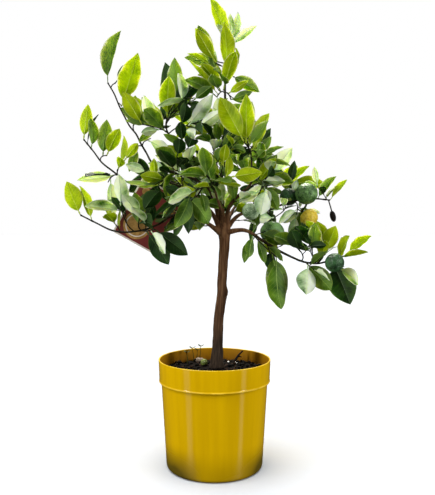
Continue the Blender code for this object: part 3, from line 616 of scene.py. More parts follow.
def makeWood():
    shape = newShape()
    addSkin(shape, fineTrunkRings())
    for name in boughs:
        addSkin(shape, fineBoughRings(name))
    obj = toObject(shape, "barkedWood", [ridgedBark()])
    meltTogether(obj)
    carveBark(obj.data)
    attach(obj, "root")
    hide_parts("trunk", *boughs)
    print("wood:", len(obj.data.polygons), "faces")


# Foliage: each mass grows on a limb at a share of its length (1 is the tip), and the width of
# its leaves is a share of their length. A shoot is where on the stem it starts, its tip, how
# many leaves it has, their length, the turn of the first one, their lean to the right and
# upwards, and the tints dealt to the spray. The first shoot is the stem.
masses = {
    "foliage_top": ("bough_leader", 1, 0.36, (
        (0.00, (0.025, 0.002, 0.757), 1, 0.088, 180, -0.3, 0.9, "young"),
        (0.88, (0.033, 0.006, 0.764), 2, 0.056, 216, 0.3, 1.0, "waxy"),
        (0.45, (0.030, 0.008, 0.698), 1, 0.074, 180, 0.1, 2.2, "young"),
        (0.50, (0.000, -0.006, 0.722), 1, 0.082, 180, -0.1, 2.0, "mature"),
        (0.15, (0.016, -0.016, 0.670), 1, 0.078, 0, 1.0, 2.2, "young"),
        (0.08, (0.004, -0.032, 0.654), 2, 0.078, 180, -1.5, 1.7, "mature young"),
        (0.10, (0.030, 0.004, 0.657), 2, 0.050, 0, 1.3, 1.5, "mature young"),
        (0.35, (0.018, 0.040, 0.700), 3, 0.064, 200, -0.2, 0.9, "mature"),
        (0.30, (-0.006, -0.004, 0.716), 1, 0.046, 180, -1.6, 1.6, "young"),
        (0.60, (0.006, 0.014, 0.728), 1, 0.042, 0, 0.0, 2.0, "waxy"))),
    "foliage_upper_left": ("bough_left_upper", 1, 0.40, (
        (0.00, (-0.072, -0.020, 0.648), 5, 0.086, 200, 0.0, 1.0, "mature old old young mature"),
        (0.05, (-0.128, -0.022, 0.608), 5, 0.062, 0, 0.1, 1.1, "young mature waxy"),
        (0.40, (-0.040, -0.026, 0.658), 3, 0.068, 200, -0.1, 1.6, "mature old waxy"),
        (0.02, (-0.030, -0.040, 0.598), 4, 0.066, 180, 0.1, 0.5, "waxy old"),
        (0.40, (-0.038, -0.030, 0.646), 1, 0.070, 180, -1.8, -0.7, "waxy"))),
    "foliage_far_upper_left": ("bough_left", 1, 0.42, (
        (0.00, (-0.196, 0.022, 0.692), 2, 0.098, 180, 0.7, 2.6, "mature"),
        (0.70, (-0.168, 0.006, 0.646), 1, 0.094, 0, 0.4, 2.2, "young"),
        (0.30, (-0.146, 0.014, 0.618), 2, 0.050, 180, 0.1, 1.2, "young"),
        (0.06, (-0.116, 0.010, 0.588), 2, 0.060, 0, 0.2, -1.2, "waxy waxy"),
        (0.02, (-0.150, 0.018, 0.570), 3, 0.056, 0, 0.0, -0.6, "mature"),
        (0.92, (-0.184, 0.032, 0.694), 1, 0.066, 0, 1.1, 2.2, "old"))),
    "foliage_left_mid": ("bough_left_mid", 1, 0.42, (
        (0.00, (-0.233, -0.012, 0.583), 3, 0.072, 0, 0.7, 1.8, "young old mature"),
        (0.50, (-0.190, -0.022, 0.553), 2, 0.066, 30, 0.0, 2.0, "young mature"),
        (0.04, (-0.188, -0.020, 0.506), 4, 0.070, 0, -0.4, -0.2, "old waxy old waxy"),
        (0.06, (-0.160, -0.014, 0.545), 3, 0.050, 0, 0.2, 0.9, "young"))),
    "foliage_left_low": ("bough_left_low", 1, 0.46, (
        (0.00, (-0.230, -0.050, 0.447), 3, 0.066, 60, -0.3, 1.6, "young"),
        (0.02, (-0.100, -0.064, 0.422), 3, 0.072, 90, 0.5, -1.3, "old waxy old"),
        (0.10, (-0.124, -0.060, 0.450), 4, 0.062, 40, 0.0, 0.1, "old waxy old mature"),
        (0.20, (-0.160, -0.058, 0.462), 2, 0.062, 40, 0.0, -0.2, "waxy"))),
    "foliage_left_centre": ("bough_left", 0.58, 0.48, (
        (0.00, (-0.070, -0.036, 0.526), 4, 0.072, 0, 0.0, 0.0, "old mature old waxy"),
        (0.45, (-0.046, -0.064, 0.474), 4, 0.070, 0, 0.2, -0.6, "old mature old old"),
        (0.50, (-0.104, -0.040, 0.500), 4, 0.058, 0, -0.2, 0.1, "waxy old young mature"))),
    "foliage_right_low": ("bough_right_low", 1, 0.54, (
        (0.00, (0.228, -0.046, 0.378), 3, 0.054, 180, 0.4, 0.6, "young"),
        (0.12, (0.160, -0.052, 0.362), 3, 0.062, 0, 0.0, -1.2, "waxy mature old"),
        (0.55, (0.208, -0.028, 0.364), 1, 0.080, 0, 0.2, -0.9, "old"),
        (0.40, (0.194, -0.030, 0.390), 3, 0.058, 180, -0.2, 1.1, "young"),
        (0.25, (0.166, -0.050, 0.392), 2, 0.054, 180, -0.6, 1.0, "old mature"),
        (0.05, (0.140, -0.050, 0.392), 2, 0.052, 180, -0.5, 0.6, "mature old"))),
    "foliage_low_centre": ("bough_right_low", 0.45, 0.39, (
        (0.00, (0.066, -0.046, 0.412), 3, 0.052, 0, -0.1, -1.6, "mature"),
        (0.50, (0.106, -0.052, 0.375), 2, 0.098, 0, -0.5, -1.8, "mature"))),
    "foliage_right_mid": ("bough_right_mid", 1, 0.40, (
        (0.00, (0.214, 0.032, 0.477), 3, 0.056, 180, 0.3, 1.5, "young young mature"),
        (0.18, (0.144, 0.052, 0.508), 2, 0.052, 0, 0.0, 1.1, "old"),
        (0.30, (0.152, 0.034, 0.450), 2, 0.050, 180, -0.4, -0.2, "waxy"),
        (0.50, (0.170, 0.066, 0.460), 3, 0.056, 0, 0.0, -0.3, "mature"),
        (0.08, (0.108, 0.006, 0.444), 1, 0.050, 180, -0.4, 0.4, "waxy"),
        (0.92, (0.206, 0.036, 0.484), 1, 0.056, 0, -1.0, 2.4, "waxy"))),
    "foliage_right_centre": ("bough_right_upper", 0.62, 0.44, (
        (0.00, (0.100, -0.024, 0.522), 4, 0.064, 180, 0.2, -0.1, "waxy mature old young"),
        (0.50, (0.088, -0.048, 0.492), 3, 0.058, 0, 0.2, -0.4, "waxy mature old"))),
    "foliage_right_upper": ("bough_right_upper", 1, 0.38, (
        (0.00, (0.050, -0.058, 0.572), 2, 0.082, 180, -0.4, 1.6, "young"),
        (0.20, (0.065, -0.018, 0.557), 2, 0.086, 0, 0.6, 2.4, "young"),
        (0.30, (0.080, -0.016, 0.552), 2, 0.050, 0, 0.3, 0.5, "mature"),
        (0.10, (0.084, -0.044, 0.540), 3, 0.054, 0, 0.3, 0.8, "mature"),
        (0.30, (0.086, 0.022, 0.560), 3, 0.064, 0, 0.0, 0.2, "old"))),
    "foliage_centre": ("bough_leader", 0.47, 0.46, (
        (0.00, (-0.006, -0.032, 0.580), 5, 0.056, 0, 0.0, 0.3, "old mature waxy old young"),
        (0.40, (0.036, -0.030, 0.562), 3, 0.056, 0, 0.2, 0.1, "mature"),
        (0.20, (0.004, -0.044, 0.528), 3, 0.050, 0, 0.0, 0.0, "mature"))),
    "foliage_front": ("bough_front", 1, 0.44, (
        (0.00, (-0.012, -0.150, 0.506), 4, 0.060, 0, 0.0, 0.2, "mature"),
        (0.15, (0.026, -0.122, 0.506), 3, 0.050, 0, 0.0, 0.1, "young"),
        (0.15, (-0.046, -0.126, 0.474), 4, 0.060, 0, -0.2, -0.3, "old mature waxy young"))),
    "foliage_back_left": ("bough_back_left", 1, 0.46, (
        (0.00, (-0.090, 0.170, 0.535), 5, 0.070, 0, 0.0, 0.2, "mature"),
        (0.15, (-0.120, 0.112, 0.528), 4, 0.064, 0, -0.2, 0.1, "old"),
        (0.35, (-0.030, 0.160, 0.552), 4, 0.064, 0, 0.0, 0.4, "young"),
        (0.20, (-0.070, 0.150, 0.470), 3, 0.064, 0, 0.0, -0.5, "old"))),
    "foliage_back_right": ("bough_back_right", 1, 0.46, (
        (0.00, (0.110, 0.172, 0.520), 5, 0.070, 0, 0.0, 0.2, "mature"),
        (0.15, (0.150, 0.104, 0.516), 4, 0.064, 0, 0.2, 0.1, "young"),
        (0.35, (0.050, 0.160, 0.550), 4, 0.064, 0, 0.0, 0.4, "mature"),
        (0.20, (0.092, 0.142, 0.456), 3, 0.064, 0, 0.0, -0.5, "old"))),
    "foliage_back_top": ("bough_leader", 0.70, 0.44, (
        (0.00, (0.008, 0.072, 0.632), 5, 0.070, 0, 0.0, 0.4, "mature"),
        (0.40, (-0.036, 0.062, 0.618), 3, 0.064, 0, -0.2, 0.3, "young"))),
}

twig = {
    "sideRadius": 0.0015, "squareness": 0.5, "search": 0.012, "stemFoot": 0.08,
    "squareFoot": 0.002, "radius": 0.0012, "tipRadius": 0.0007, "step": 0.022,
    "bend": 0.42, "kink": 0.07, "sides": 8, "fineStep": 0.0035, "knot": 0.0005,
    "knotReach": 0.0016, "sunk": 0.0014, "stemStouter": 1.75, "shootStouter": 1.3,
}
# thorns stand in the joint of some leaves: share of them, length, how far each leans back from
# the leaf's face, and its radius at shares of its length
thorn = {
    "share": 0.3, "length": (0.003, 0.006), "back": 0.8,
    "taper": ((0, 0.00065), (0.4, 0.00045), (0.75, 0.0002), (1, 0.00003)),
}
# order of the slots in the piece of twigs
barkSlot, greenSlot = 0, 1

# mass, shoot, where along it, middle, diameter and peel of each fruit
fruit = (
    ("foliage_right_mid", 0, 0.55, (0.170, 0.030, 0.489), 0.042, "green"),
    ("foliage_right_mid", 1, 0.10, (0.139, 0.044, 0.484), 0.034, "shaded"),
    ("foliage_right_mid", 2, 0.60, (0.175, 0.030, 0.444), 0.034, "ripe"),
    ("foliage_right_mid", 4, 0.96, (0.104, 0.000, 0.417), 0.044, "green"),
    ("foliage_right_centre", 1, 0.30, (0.062, -0.050, 0.453), 0.030, "pale"),
    ("foliage_right_low", 0, 0.60, (0.203, -0.066, 0.366), 0.033, "shaded"),
    ("foliage_right_mid", 0, 0.97, (0.2192, 0.031, 0.447), 0.011, "dried"),
)
fruitForm = {
    "flattening": 0.92, "shrivelled": 1.9, "room": 0.002, "skin": 0.985,
    "stalkRadius": 0.0011, "stalkEnd": 0.0013, "stalkArch": 0.002, "stalkDepth": 0.84,
    # shares of the radius: the skin between the warts, the warts (how many, relief), lobes at
    # the stalk end, and the hollows at the stalk and at the navel, each in a low swelling
    # (depth, reach)
    "warts": ((6.5, 0.030), (13, 0.016)), "lobes": 9, "lobeRelief": 0.012,
    "stalkHollow": ((0.13, 0.055), (-0.05, 0.3)), "navelHollow": ((0.05, 0.02), (-0.03, 0.08)),
}

leaf = {
    "spiral": 144, "internode": 0.010, "bareFoot": 0.08, "stalkShare": 0.13,
    "stalkRadius": 0.0008, "wobble": 0.6, "thicknessShare": 0.014,
    "stations": ((0.20, 0.74), (0.48, 1.00), (0.78, 0.62)),
    "tipAngle": 20, "spreadAngle": 52, "light": Vector((0.15, 0.75, 0.65)),
    # what chance does to each leaf
    "internodeRange": (0.85, 1.2), "lengthRange": (0.84, 1.08), "widthRange": (0.85, 1.15),
    "spreadRange": (-12, 12), "curlRange": (-55, 15), "foldRange": (0.05, 0.3),
    "turnsTried": (0, 25, -25, 50, -50, 80, -80, 115, -115, 150), "spaceOverlap": 0.02,
}


# where a mass leaves its limb: at the limb's tip, or beside it as close to the bark as it goes
def stemStart(limb, share, tip):
    _, _, end, places = boughs[limb]
    path = smoothPath(places, boughStep)
    point, along = placeAlong(path, share)
    if share == 1:
        return point + along * gap, along, end
    out = (tip - point).normalized()
    out = (out - twig["squareness"] * out.dot(along) * along).normalized()
    side = out.orthogonal().normalized()
    bark = BVHTree.FromBMesh(coarse(boughRings(limb, 0)))
    start = point + out * twig["search"]
    while True:
        ring = ringAbout(start, side, out.cross(side), twig["sideRadius"], 6)
        if min(bark.find_nearest(place)[3] for place in ring) < 1.5 * gap:
            return start, out, twig["sideRadius"]
        start = start - out * gap / 4


# a shoot leaves square to its first ring, bends towards its tip and wavers a little
def shootPath(start, tip, leaving, rng):
    reach = (tip - start).length
    count = max(3, round(reach / twig["step"]))
    bend = start + leaving * reach * twig["bend"]
    kink = twig["kink"] * reach / count
    path = [start, start + leaving * twig["squareFoot"]]
    for i in range(1, count + 1):
        t = i / count
        point = start * (1 - t) ** 2 + bend * 2 * t * (1 - t) + tip * t ** 2
        if i < count:
            point = point + Vector([rng.uniform(-kink, kink) for _ in range(3)])
        path.append(point)
    return path


def growShoots(name):
    limb, share, _, rows = masses[name]
    rng = random.Random(name)
    first, leaving, foot = stemStart(limb, share, Vector(rows[0][1]))
    shoots = []
    for at, tip, *_ in rows:
        tip = Vector(tip)
        if shoots:
            start, along = placeAlong(shoots[0][0], max(at, twig["stemFoot"]))
            path = shootPath(start, tip, (along + (tip - start).normalized()).normalized(), rng)
            radii = taper(path, twig["radius"], twig["tipRadius"])
        else:
            path = shootPath(first, tip, leaving, rng)
            radii = taper(path, foot, twig["tipRadius"])
        shoots.append((path, radii))
    return shoots


# the solids' plain leaf, used here only to test which leaves have room
def plainLeaf(pose):
    root, heading, face = pose["root"], pose["heading"], pose["face"]
    side = heading.cross(face).normalized()
    stalk = pose["length"] * leaf["stalkShare"]
    run = pose["length"] - stalk
    point = root + heading * stalk
    rings = [ringAbout(place, side, face, leaf["stalkRadius"], 3) for place in (root, point)]
    rings = [[ring[i] for i in (0, 2, 1)] for ring in rings]  # in the blade's own order
    last = 0
    for along, broad in (*leaf["stations"], (1, 0)):
        turn = Matrix.Rotation(pose["curl"] * (along - last), 3, side)
        heading = turn @ heading
        face = turn @ face
        point = point + heading * run * (along - last)
        last = along
        if not broad:
            rings.append([point])
            break
        edge = side * (pose["width"] / 2) * broad
        raised = face * (pose["width"] / 2) * broad * pose["fold"]
        sunk = face * pose["length"] * leaf["thicknessShare"]
        rings.append([point + edge + raised, point - sunk, point - edge + raised])
    return rings


# a closed mesh through rings, for the room tests
def coarse(rings):
    shape = bmesh.new()
    loops = [[shape.verts.new(point) for point in ring] for ring in rings]
    for low, high in zip(loops, loops[1:]):
        for i in range(len(low)):
            j = (i + 1) % len(low)
            if len(high) == 1:
                shape.faces.new((low[i], low[j], high[0]))
            else:
                shape.faces.new((low[i], low[j], high[j], high[i]))
    shape.faces.new(reversed(loops[0]))
    if len(loops[-1]) > 1:
        shape.faces.new(loops[-1])
    return shape


# a mesh's search tree with the ball round it, for quick tests of what touches it
def bodyOf(shape):
    points = [vert.co.copy() for vert in shape.verts]
    middle = sum(points, Vector()) / len(points)
    reach = max((point - middle).length for point in points)
    tree = BVHTree.FromBMesh(shape)
    shape.free()
    return tree, middle, reach


def touches(body, others):
    tree, middle, reach = body
    for other, centre, radius in others:
        if (centre - middle).length < reach + radius and tree.overlap(other):
            return True
    return False


# whether a leaf keeps to the space round its own mass's shoots
def inSpace(name, rings, spaces):
    for point in (ring[len(ring) // 2] for ring in rings):
        near = {key: min((point - knot).length for knot in knots)
                for key, knots in spaces.items()}
        if near[name] > min(near.values()) + leaf["spaceOverlap"]:
            return False
    return True


# the way out from a limb, turned about it from the right-hand side
def outward(along, turn):
    rightHand = away.cross(along).normalized()
    return rightHand * math.cos(turn) + along.cross(rightHand) * math.sin(turn)


# where a leaf sits and how it is turned, or None below the bare foot of its shoot
def leafPose(path, row, name, number, i, extra):
    _, _, _, length, turn, lean, lift, _ = row
    rng = random.Random(f"{name} {number} {i}")
    run = sum((b - a).length for a, b in zip(path, path[1:]))
    share = 1 - i * leaf["internode"] * rng.uniform(*leaf["internodeRange"]) / run
    size = length * rng.uniform(*leaf["lengthRange"])
    width = size * masses[name][2] * rng.uniform(*leaf["widthRange"])
    spread = leaf["spreadAngle"] + rng.uniform(*leaf["spreadRange"]) if i else leaf["tipAngle"]
    opening = math.radians(spread)
    curl = math.radians(rng.uniform(*leaf["curlRange"]))
    fold = rng.uniform(*leaf["foldRange"])
    wobble = Vector([rng.uniform(-leaf["wobble"], leaf["wobble"]) for _ in range(3)])
    if share < leaf["bareFoot"]:
        return None
    root, along = placeAlong(path, share)
    out = outward(along, math.radians(turn + i * leaf["spiral"] + extra))
    heading = along * math.cos(opening) + out * math.sin(opening)
    heading = (heading + Vector((lean, 0, lift))).normalized()
    face = leaf["light"].normalized() + wobble
    face = (face - face.dot(heading) * heading).normalized()
    return {"root": root, "heading": heading, "face": face, "length": size, "width": width,
            "curl": curl, "fold": fold, "share": share}


# the leaf's own body if it is clear of the limbs, of what has its place and of other masses
def hasRoom(pose, name, limbs, taken, spaces):
    rings = plainLeaf(pose)
    if spaces and not inSpace(name, rings[2:], spaces):
        return None
    blade = bodyOf(coarse(rings[1:]))
    if touches(blade, taken) or touches(bodyOf(coarse(rings)), limbs):
        return None
    return blade


# a spray's tints are dealt to its leaves in turn
def dealt(row, i):
    hand = row[7].split()
    return hand[i % len(hand)]


# a leaf at the first turn that gives it room, or None; room is (limbs, taken, spaces)
def placeLeaf(path, row, name, number, i, room):
    for extra in leaf["turnsTried"]:
        pose = leafPose(path, row, name, number, i, extra)
        blade = pose and hasRoom(pose, name, *room)
        if blade:
            room[1].append(blade)
            return {**pose, "shoot": number, "tint": dealt(row, i)}
    return None


def growLeaves(name, shoots, room):
    poses = [placeLeaf(path, row, name, number, i, room)
             for number, (row, (path, _)) in enumerate(zip(masses[name][3], shoots))
             for i in range(row[2])]
    return [pose for pose in poses if pose]


# finer twigs that the solids leave out: how many each shoot tries, by mass, where the crown is
# close; the outer sprays, which stand against the sky, get none
finer = {
    "tries": {"foliage_top": 1, "foliage_upper_left": 2, "foliage_left_low": 1,
              "foliage_left_centre": 3, "foliage_right_low": 1, "foliage_right_mid": 1,
              "foliage_right_centre": 2, "foliage_right_upper": 1, "foliage_centre": 2,
              "foliage_front": 1, "foliage_back_left": 3, "foliage_back_right": 3,
              "foliage_back_top": 3},
    "leaves": 3, "leafShare": 0.68, "length": (0.016, 0.030), "radius": 0.0009,
    "tipRadius": 0.0005, "opening": 48, "shift": 0.03, "rise": 0.15, "leafLift": 0.25,
    "knotShare": 0.3,
}
# those of the top spray have larger leaves and keep close to its stem
topFiner = {**finer, "leaves": 2, "leafShare": 0.95, "length": (0.006, 0.014), "opening": 15}
# inner twigs: the bough that they leave, the mass they belong to, and where along the bough
inner = (
    ("bough_leader", "foliage_centre", (0.08, 0.16, 0.24, 0.34, 0.60, 0.78)),
    ("bough_left", "foliage_left_centre", (0.20, 0.32, 0.44)),
    ("bough_left_mid", "foliage_left_centre", (0.18, 0.30, 0.42)),
    ("bough_left_low", "foliage_left_low", (0.16, 0.25, 0.35, 0.45, 0.55)),
    ("bough_left_upper", "foliage_centre", (0.20, 0.40, 0.60)),
    ("bough_right_mid", "foliage_right_mid", (0.22, 0.36, 0.50)),
    ("bough_right_upper", "foliage_right_centre", (0.20, 0.34)),
    ("bough_right_low", "foliage_low_centre", (0.30,)),
    ("bough_right_low", "foliage_right_low", (0.40, 0.50, 0.60, 0.70)),
    ("bough_back_left", "foliage_back_left", (0.18, 0.32, 0.46, 0.60)),
    ("bough_back_right", "foliage_back_right", (0.18, 0.32, 0.46, 0.60)),
)
innerLeaf = {"length": 0.048, "tints": "old mature old"}


def finerForm(name):
    return topFiner if name == "foliage_top" else finer


# one finer twig with those of its leaves that have room
def growFinerTwig(name, label, path, share, size, hand, room):
    form = finerForm(name)
    rng = random.Random(f"{name} {label}")
    start, along = placeAlong(path, share + rng.uniform(-form["shift"], form["shift"]))
    out = outward(along, rng.uniform(0, 2 * math.pi))
    opening = math.radians(form["opening"])
    leaving = along * math.cos(opening) + out * math.sin(opening)
    tip = start + (leaving + upright * form["rise"]) * rng.uniform(*form["length"])
    branch = shootPath(start, tip, leaving, rng)
    row = (0, tip, 0, size, rng.uniform(0, 360), 0, form["leafLift"], hand)
    grown = [placeLeaf(branch, row, name, label, i, room) for i in range(form["leaves"])]
    radii = taper(branch, form["radius"], form["tipRadius"])
    return (branch, radii), [pose for pose in grown if pose]


def growFinerTwigs(name, shoots, room):
    tries = finer["tries"].get(name, 0)
    size = finerForm(name)["leafShare"]
    found = []
    for number, (row, (path, _)) in enumerate(zip(masses[name][3], shoots)):
        for k in range(tries):  # evenly spaced towards the shoot's tip
            found.append(growFinerTwig(name, f"{number} finer {k}", path,
                                       (k + 0.6) / (tries + 0.5), row[3] * size, row[7], room))
    limbs, taken, _ = room
    for bough, mass, shares in inner:
        if mass == name:
            path = smoothPath(boughs[bough][3], boughStep)
            for share in shares:
                found.append(growFinerTwig(name, f"{bough} {share}", path, share,
                                           innerLeaf["length"], innerLeaf["tints"],
                                           (limbs, taken, None)))
    found = [(limb, grown) for limb, grown in found if grown]
    return [limb for limb, _ in found], [pose for _, grown in found for pose in grown]


bladeForm = {
    "stations": 16, "columns": (-1, -0.66, -0.33, 0, 0.33, 0.66, 1),
    "stalkStations": 4, "stalkHalf": 0.0007, "wing": 0.0016,
    "rib": 0.00045, "ribDepth": 0.0004, "keel": 1.3, "ribWidth": 0.04,
    "halfThickness": 0.00022, "tipHalf": 0.0001, "deeperFold": 0.1, "marginCurve": 1.4,
    # shares: the stalk's thickness of its width, the blade's extra at its foot of the stalk's,
    # the rib at most of the blade's half width, and what the blade loses towards its margin
    "stalkThickness": 0.8, "footThickness": 0.7, "ribMost": 0.4, "marginThinning": 0.5,
    # height of the margin's waves on a leaf of this width, and how many there are
    "wave": 0.0011, "waveWidth": 0.036, "waves": 3.2, "waveRange": (0.3, 1.0),
    "twistRange": (-22, 22),
}
# order of the slots in every leaf piece
upperSlot, ribSlot, underSlot = 0, 1, 2


# share of the half width at a share of the blade's length: an ellipse with a sharper tip
def breadthAt(t):
    return 3.34 * t ** 0.8 * (1 - t) ** 0.95 if 0 < t < 1 else 0


# stations along a leaf: its place, side and face, the blade's half width and the lift of its
# margin, the rib's half width, half the thickness, and the share of the blade's length, which
# is below 0 on the winged stalk
def leafStations(pose, twist):
    heading, face = pose["heading"].copy(), pose["face"].copy()
    side = heading.cross(face).normalized()
    stalk = pose["length"] * leaf["stalkShare"]
    step = (pose["length"] - stalk) / bladeForm["stations"]
    thin = bladeForm["stalkHalf"]
    point = pose["root"].copy()
    stations = []
    for i in range(bladeForm["stalkStations"]):
        s = i / (bladeForm["stalkStations"] - 1)
        wing = thin + bladeForm["wing"] * math.sin(math.pi * s) ** 2 * s
        stations.append((point + heading * stalk * s, side, face, wing, 0, thin,
                         thin * bladeForm["stalkThickness"], -0.1))
    point = point + heading * stalk
    bend = Matrix.Rotation(pose["curl"] / bladeForm["stations"], 3, side)
    for i in range(1, bladeForm["stations"] + 1):
        t = i / bladeForm["stations"]
        heading = bend @ heading
        face = bend @ face
        point = point + heading * step
        broad = max(pose["width"] / 2 * breadthAt(t), bladeForm["tipHalf"])
        roll = Matrix.Rotation(twist * t, 3, heading)
        lift = (pose["fold"] + bladeForm["deeperFold"]) * broad
        thick = bladeForm["halfThickness"] + thin * bladeForm["footThickness"] * (1 - t) ** 6
        rib = min(bladeForm["rib"] * (1.25 - t) + 0.0001, broad * bladeForm["ribMost"])
        stations.append((point, roll @ side, roll @ face, broad, lift, rib, thick, t))
    return stations


# a ring over the top of a leaf and back beneath it, with its places on the blade's map; across
# lists (column, strip), where a strip is one edge or the middle of the channelled midrib
def leafRing(station, across, waving):
    place, side, face, broad, lift, rib, thick, t = station
    top, under = [], []
    for column, strip in across:
        share = column if column else strip * rib / broad
        spread = side * broad * share
        rise = face * (lift * abs(share) ** bladeForm["marginCurve"]
                       + (waving * share * share if t > 0 else 0))
        groove = face * bladeForm["ribDepth"] * (column == 0 and strip == 0) * (t > 0)
        edge = abs(column) == 1
        body = face * thick * (0 if edge else 1 - bladeForm["marginThinning"] * abs(share))
        top.append(place + spread + rise + body - groove)
        if not edge:
            under.append(place + spread + rise - body - groove * bladeForm["keel"])
    places = [(column if column else strip * bladeForm["ribWidth"], max(t, 0))
              for column, strip in across]
    return top + under[::-1], places + places[1:-1][::-1]


# one leaf as a thin closed body: winged stalk, channelled midrib, lifted and waved margins
def addLeaf(shape, pose, rng):
    phase = rng.uniform(0, 6.3)
    wave = bladeForm["wave"] * rng.uniform(*bladeForm["waveRange"])
    wave = wave * pose["width"] / bladeForm["waveWidth"]
    stations = leafStations(pose, math.radians(rng.uniform(*bladeForm["twistRange"])))
    columns = bladeForm["columns"]
    across = []
    for column in columns:
        across += [(column, 0)] if column else [(0, -1), (0, 0), (0, 1)]
    first = len(shape["points"])
    for station in stations:
        waving = wave * math.sin(bladeForm["waves"] * 2 * math.pi * station[-1] + phase)
        ring, places = leafRing(station, across, waving)
        shape["points"].extend(ring)
        shape["blade"].extend(places)
    flat = len(across) - 1  # faces on the upper side
    size = 2 * flat
    middle = len(columns) // 2
    for i in range(len(stations) - 1):
        for j in range(size):
            a = first + i * size + j
            b = first + i * size + (j + 1) % size
            shape["faces"].append((a + size, b + size, b, a))
            inRib = j in (middle, middle + 1) or j in (size - middle - 1, size - middle - 2)
            shape["slots"].append(ribSlot if inRib else (upperSlot if j < flat else underSlot))
    last = first + (len(stations) - 1) * size
    shape["faces"].append(tuple(first + j for j in range(size)))
    shape["faces"].append(tuple(last + j for j in reversed(range(size))))
    shape["slots"] += [underSlot] * 2


# the four tints of leaf: dark and light of the upper face, of the under face, and the midrib,
# the upper face's roughness, how much light passes through the blade and how much painted sheen it
# has.
# Dealt by spray, they also paint light and shade: the youngest leaves are brighter where the crown
# is lit through, the oldest near black where it is in shade, and the sheened ones carry a pale
# painted sheen
tints = {
    "young": {"upper": ("#5C7400", "#92A806"), "under": ("#667E00", "#9CB008"),
              "rib": "#C4D058", "gloss": 0.34, "glow": 0.5, "paintedSheenShare": 0.0},
    "mature": {"upper": ("#1C3C02", "#4E7210"), "under": ("#244606", "#587C12"),
               "rib": "#8CA442", "gloss": 0.30, "glow": 0.35, "paintedSheenShare": 0.05},
    "old": {"upper": ("#041604", "#12300C"), "under": ("#081C06", "#18380E"),
            "rib": "#48662A", "gloss": 0.24, "glow": 0.08, "paintedSheenShare": 0.02},
    "waxy": {"upper": ("#1E4E12", "#B2DC9A"), "under": ("#224E1A", "#A8D28E"),
             "rib": "#D0E2BA", "gloss": 0.24, "glow": 0.55, "paintedSheenShare": 1.0},
}
# leaves on the finer twigs now and then take another tint than the spray's own
strays = {"young": ("mature",), "mature": ("young", "waxy"), "old": ("waxy",), "waxy": ("old",)}
strayShare = 0.3


def leafMaterials(tint):
    look = tints[tint]
    shared = {"vein": look["rib"], "glow": look["glow"], "paintedSheenShare": look["paintedSheenShare"]}
    upper = cuticle(tint + "LeafUpperFace", *look["upper"], roughness=look["gloss"],
                    veinRelief=0.3 * mm, sheen=0.35, **shared)
    under = cuticle(tint + "LeafUnderFace", *look["under"], roughness=0.5,
                    veinRelief=0.4 * mm, sheen=0.08, **shared)
    rib = mottled(tint + "LeafMidrib", look["under"][1], look["rib"], 0.45, 3)
    return [upper, rib, under]


def addTube(shape, path, radii, sides, slot=0):
    addSkin(shape, tubeRings(path, radii, sides), slot)


# a shoot as a smooth tube, swollen at each leaf's joint
def addTwig(shape, path, radii, knots, sunk):
    foot = path[0] - (path[1] - path[0]).normalized() * sunk
    fine = smoothPath([foot, *path], twig["fineStep"])
    total = sum((b - a).length for a, b in zip(fine, fine[1:]))
    run = 0
    thick = []
    for i, point in enumerate(fine):
        run += (point - fine[i - 1]).length if i else 0
        radius = thicknessAt(run / total, radii[0], radii[-1])
        near = min([abs(run / total - knot) * total for knot in knots] or [1])
        thick.append(radius + twig["knot"] * math.exp(-(near / twig["knotReach"]) ** 2))
    addTube(shape, fine, thick, twig["sides"], barkSlot)


def addThorn(shape, foot, out, length):
    path = [foot + out * length * share for share, _ in thorn["taper"]]
    addTube(shape, path, [radius for _, radius in thorn["taper"]], 5, greenSlot)


# Fruit

# the pits, the ground and the warts of each peel
peels = {
    "green": ("#0A1C06", "#264818", "#7CA660"),
    "shaded": ("#06140A", "#102A10", "#406A3E"),
    "pale": ("#30542A", "#628858", "#C8DEB4"),
    "ripe": ("#9A7E0A", "#CEAE1E", "#E8CE50"),
}
peelOrder = (*peels, "dried")


# a knobbly yuzu whose axis points at its stalk, sunk at the stalk end, with a navel below
def addFruit(shape, centre, diameter, axis, slot, seed, stretch=fruitForm["flattening"]):
    ball = bmesh.new()
    bmesh.ops.create_icosphere(ball, subdivisions=5, radius=1)
    turn = upright.rotation_difference(axis).to_matrix()
    first = len(shape["points"])
    offset = Vector((seed * 7.3, seed * 3.1, seed * 5.7))
    for vert in ball.verts:
        way = vert.co.normalized()
        warts = sum(noise.noise(way * many + offset) * relief
                    for many, relief in fruitForm["warts"])
        lobes = math.cos(fruitForm["lobes"] * math.atan2(way.y, way.x)) * max(0, way.z) ** 2
        hollows = sum(depth * math.exp((way.z - 1) / reach)
                      for depth, reach in fruitForm["stalkHollow"])
        hollows += sum(depth * math.exp((-1 - way.z) / reach)
                       for depth, reach in fruitForm["navelHollow"])
        share = fruitForm["skin"] + warts + fruitForm["lobeRelief"] * lobes - hollows
        place = way * diameter / 2 * share
        place.z *= stretch
        shape["points"].append(centre + turn @ place)
    for face in ball.faces:
        shape["faces"].append(tuple(first + vert.index for vert in face.verts))
        shape["slots"].append(slot)
    ball.free()


# five blunt sepals round the end of the stalk, whose profile is (lift, share of the radius)
calyx = {"radius": 0.0034, "lift": 0.0004, "sepals": 5, "depth": 0.22, "sides": 20,
         "profile": ((0.0012, 0.35), (0.0006, 0.8), (0.0, 1.0), (-0.0010, 0.7))}


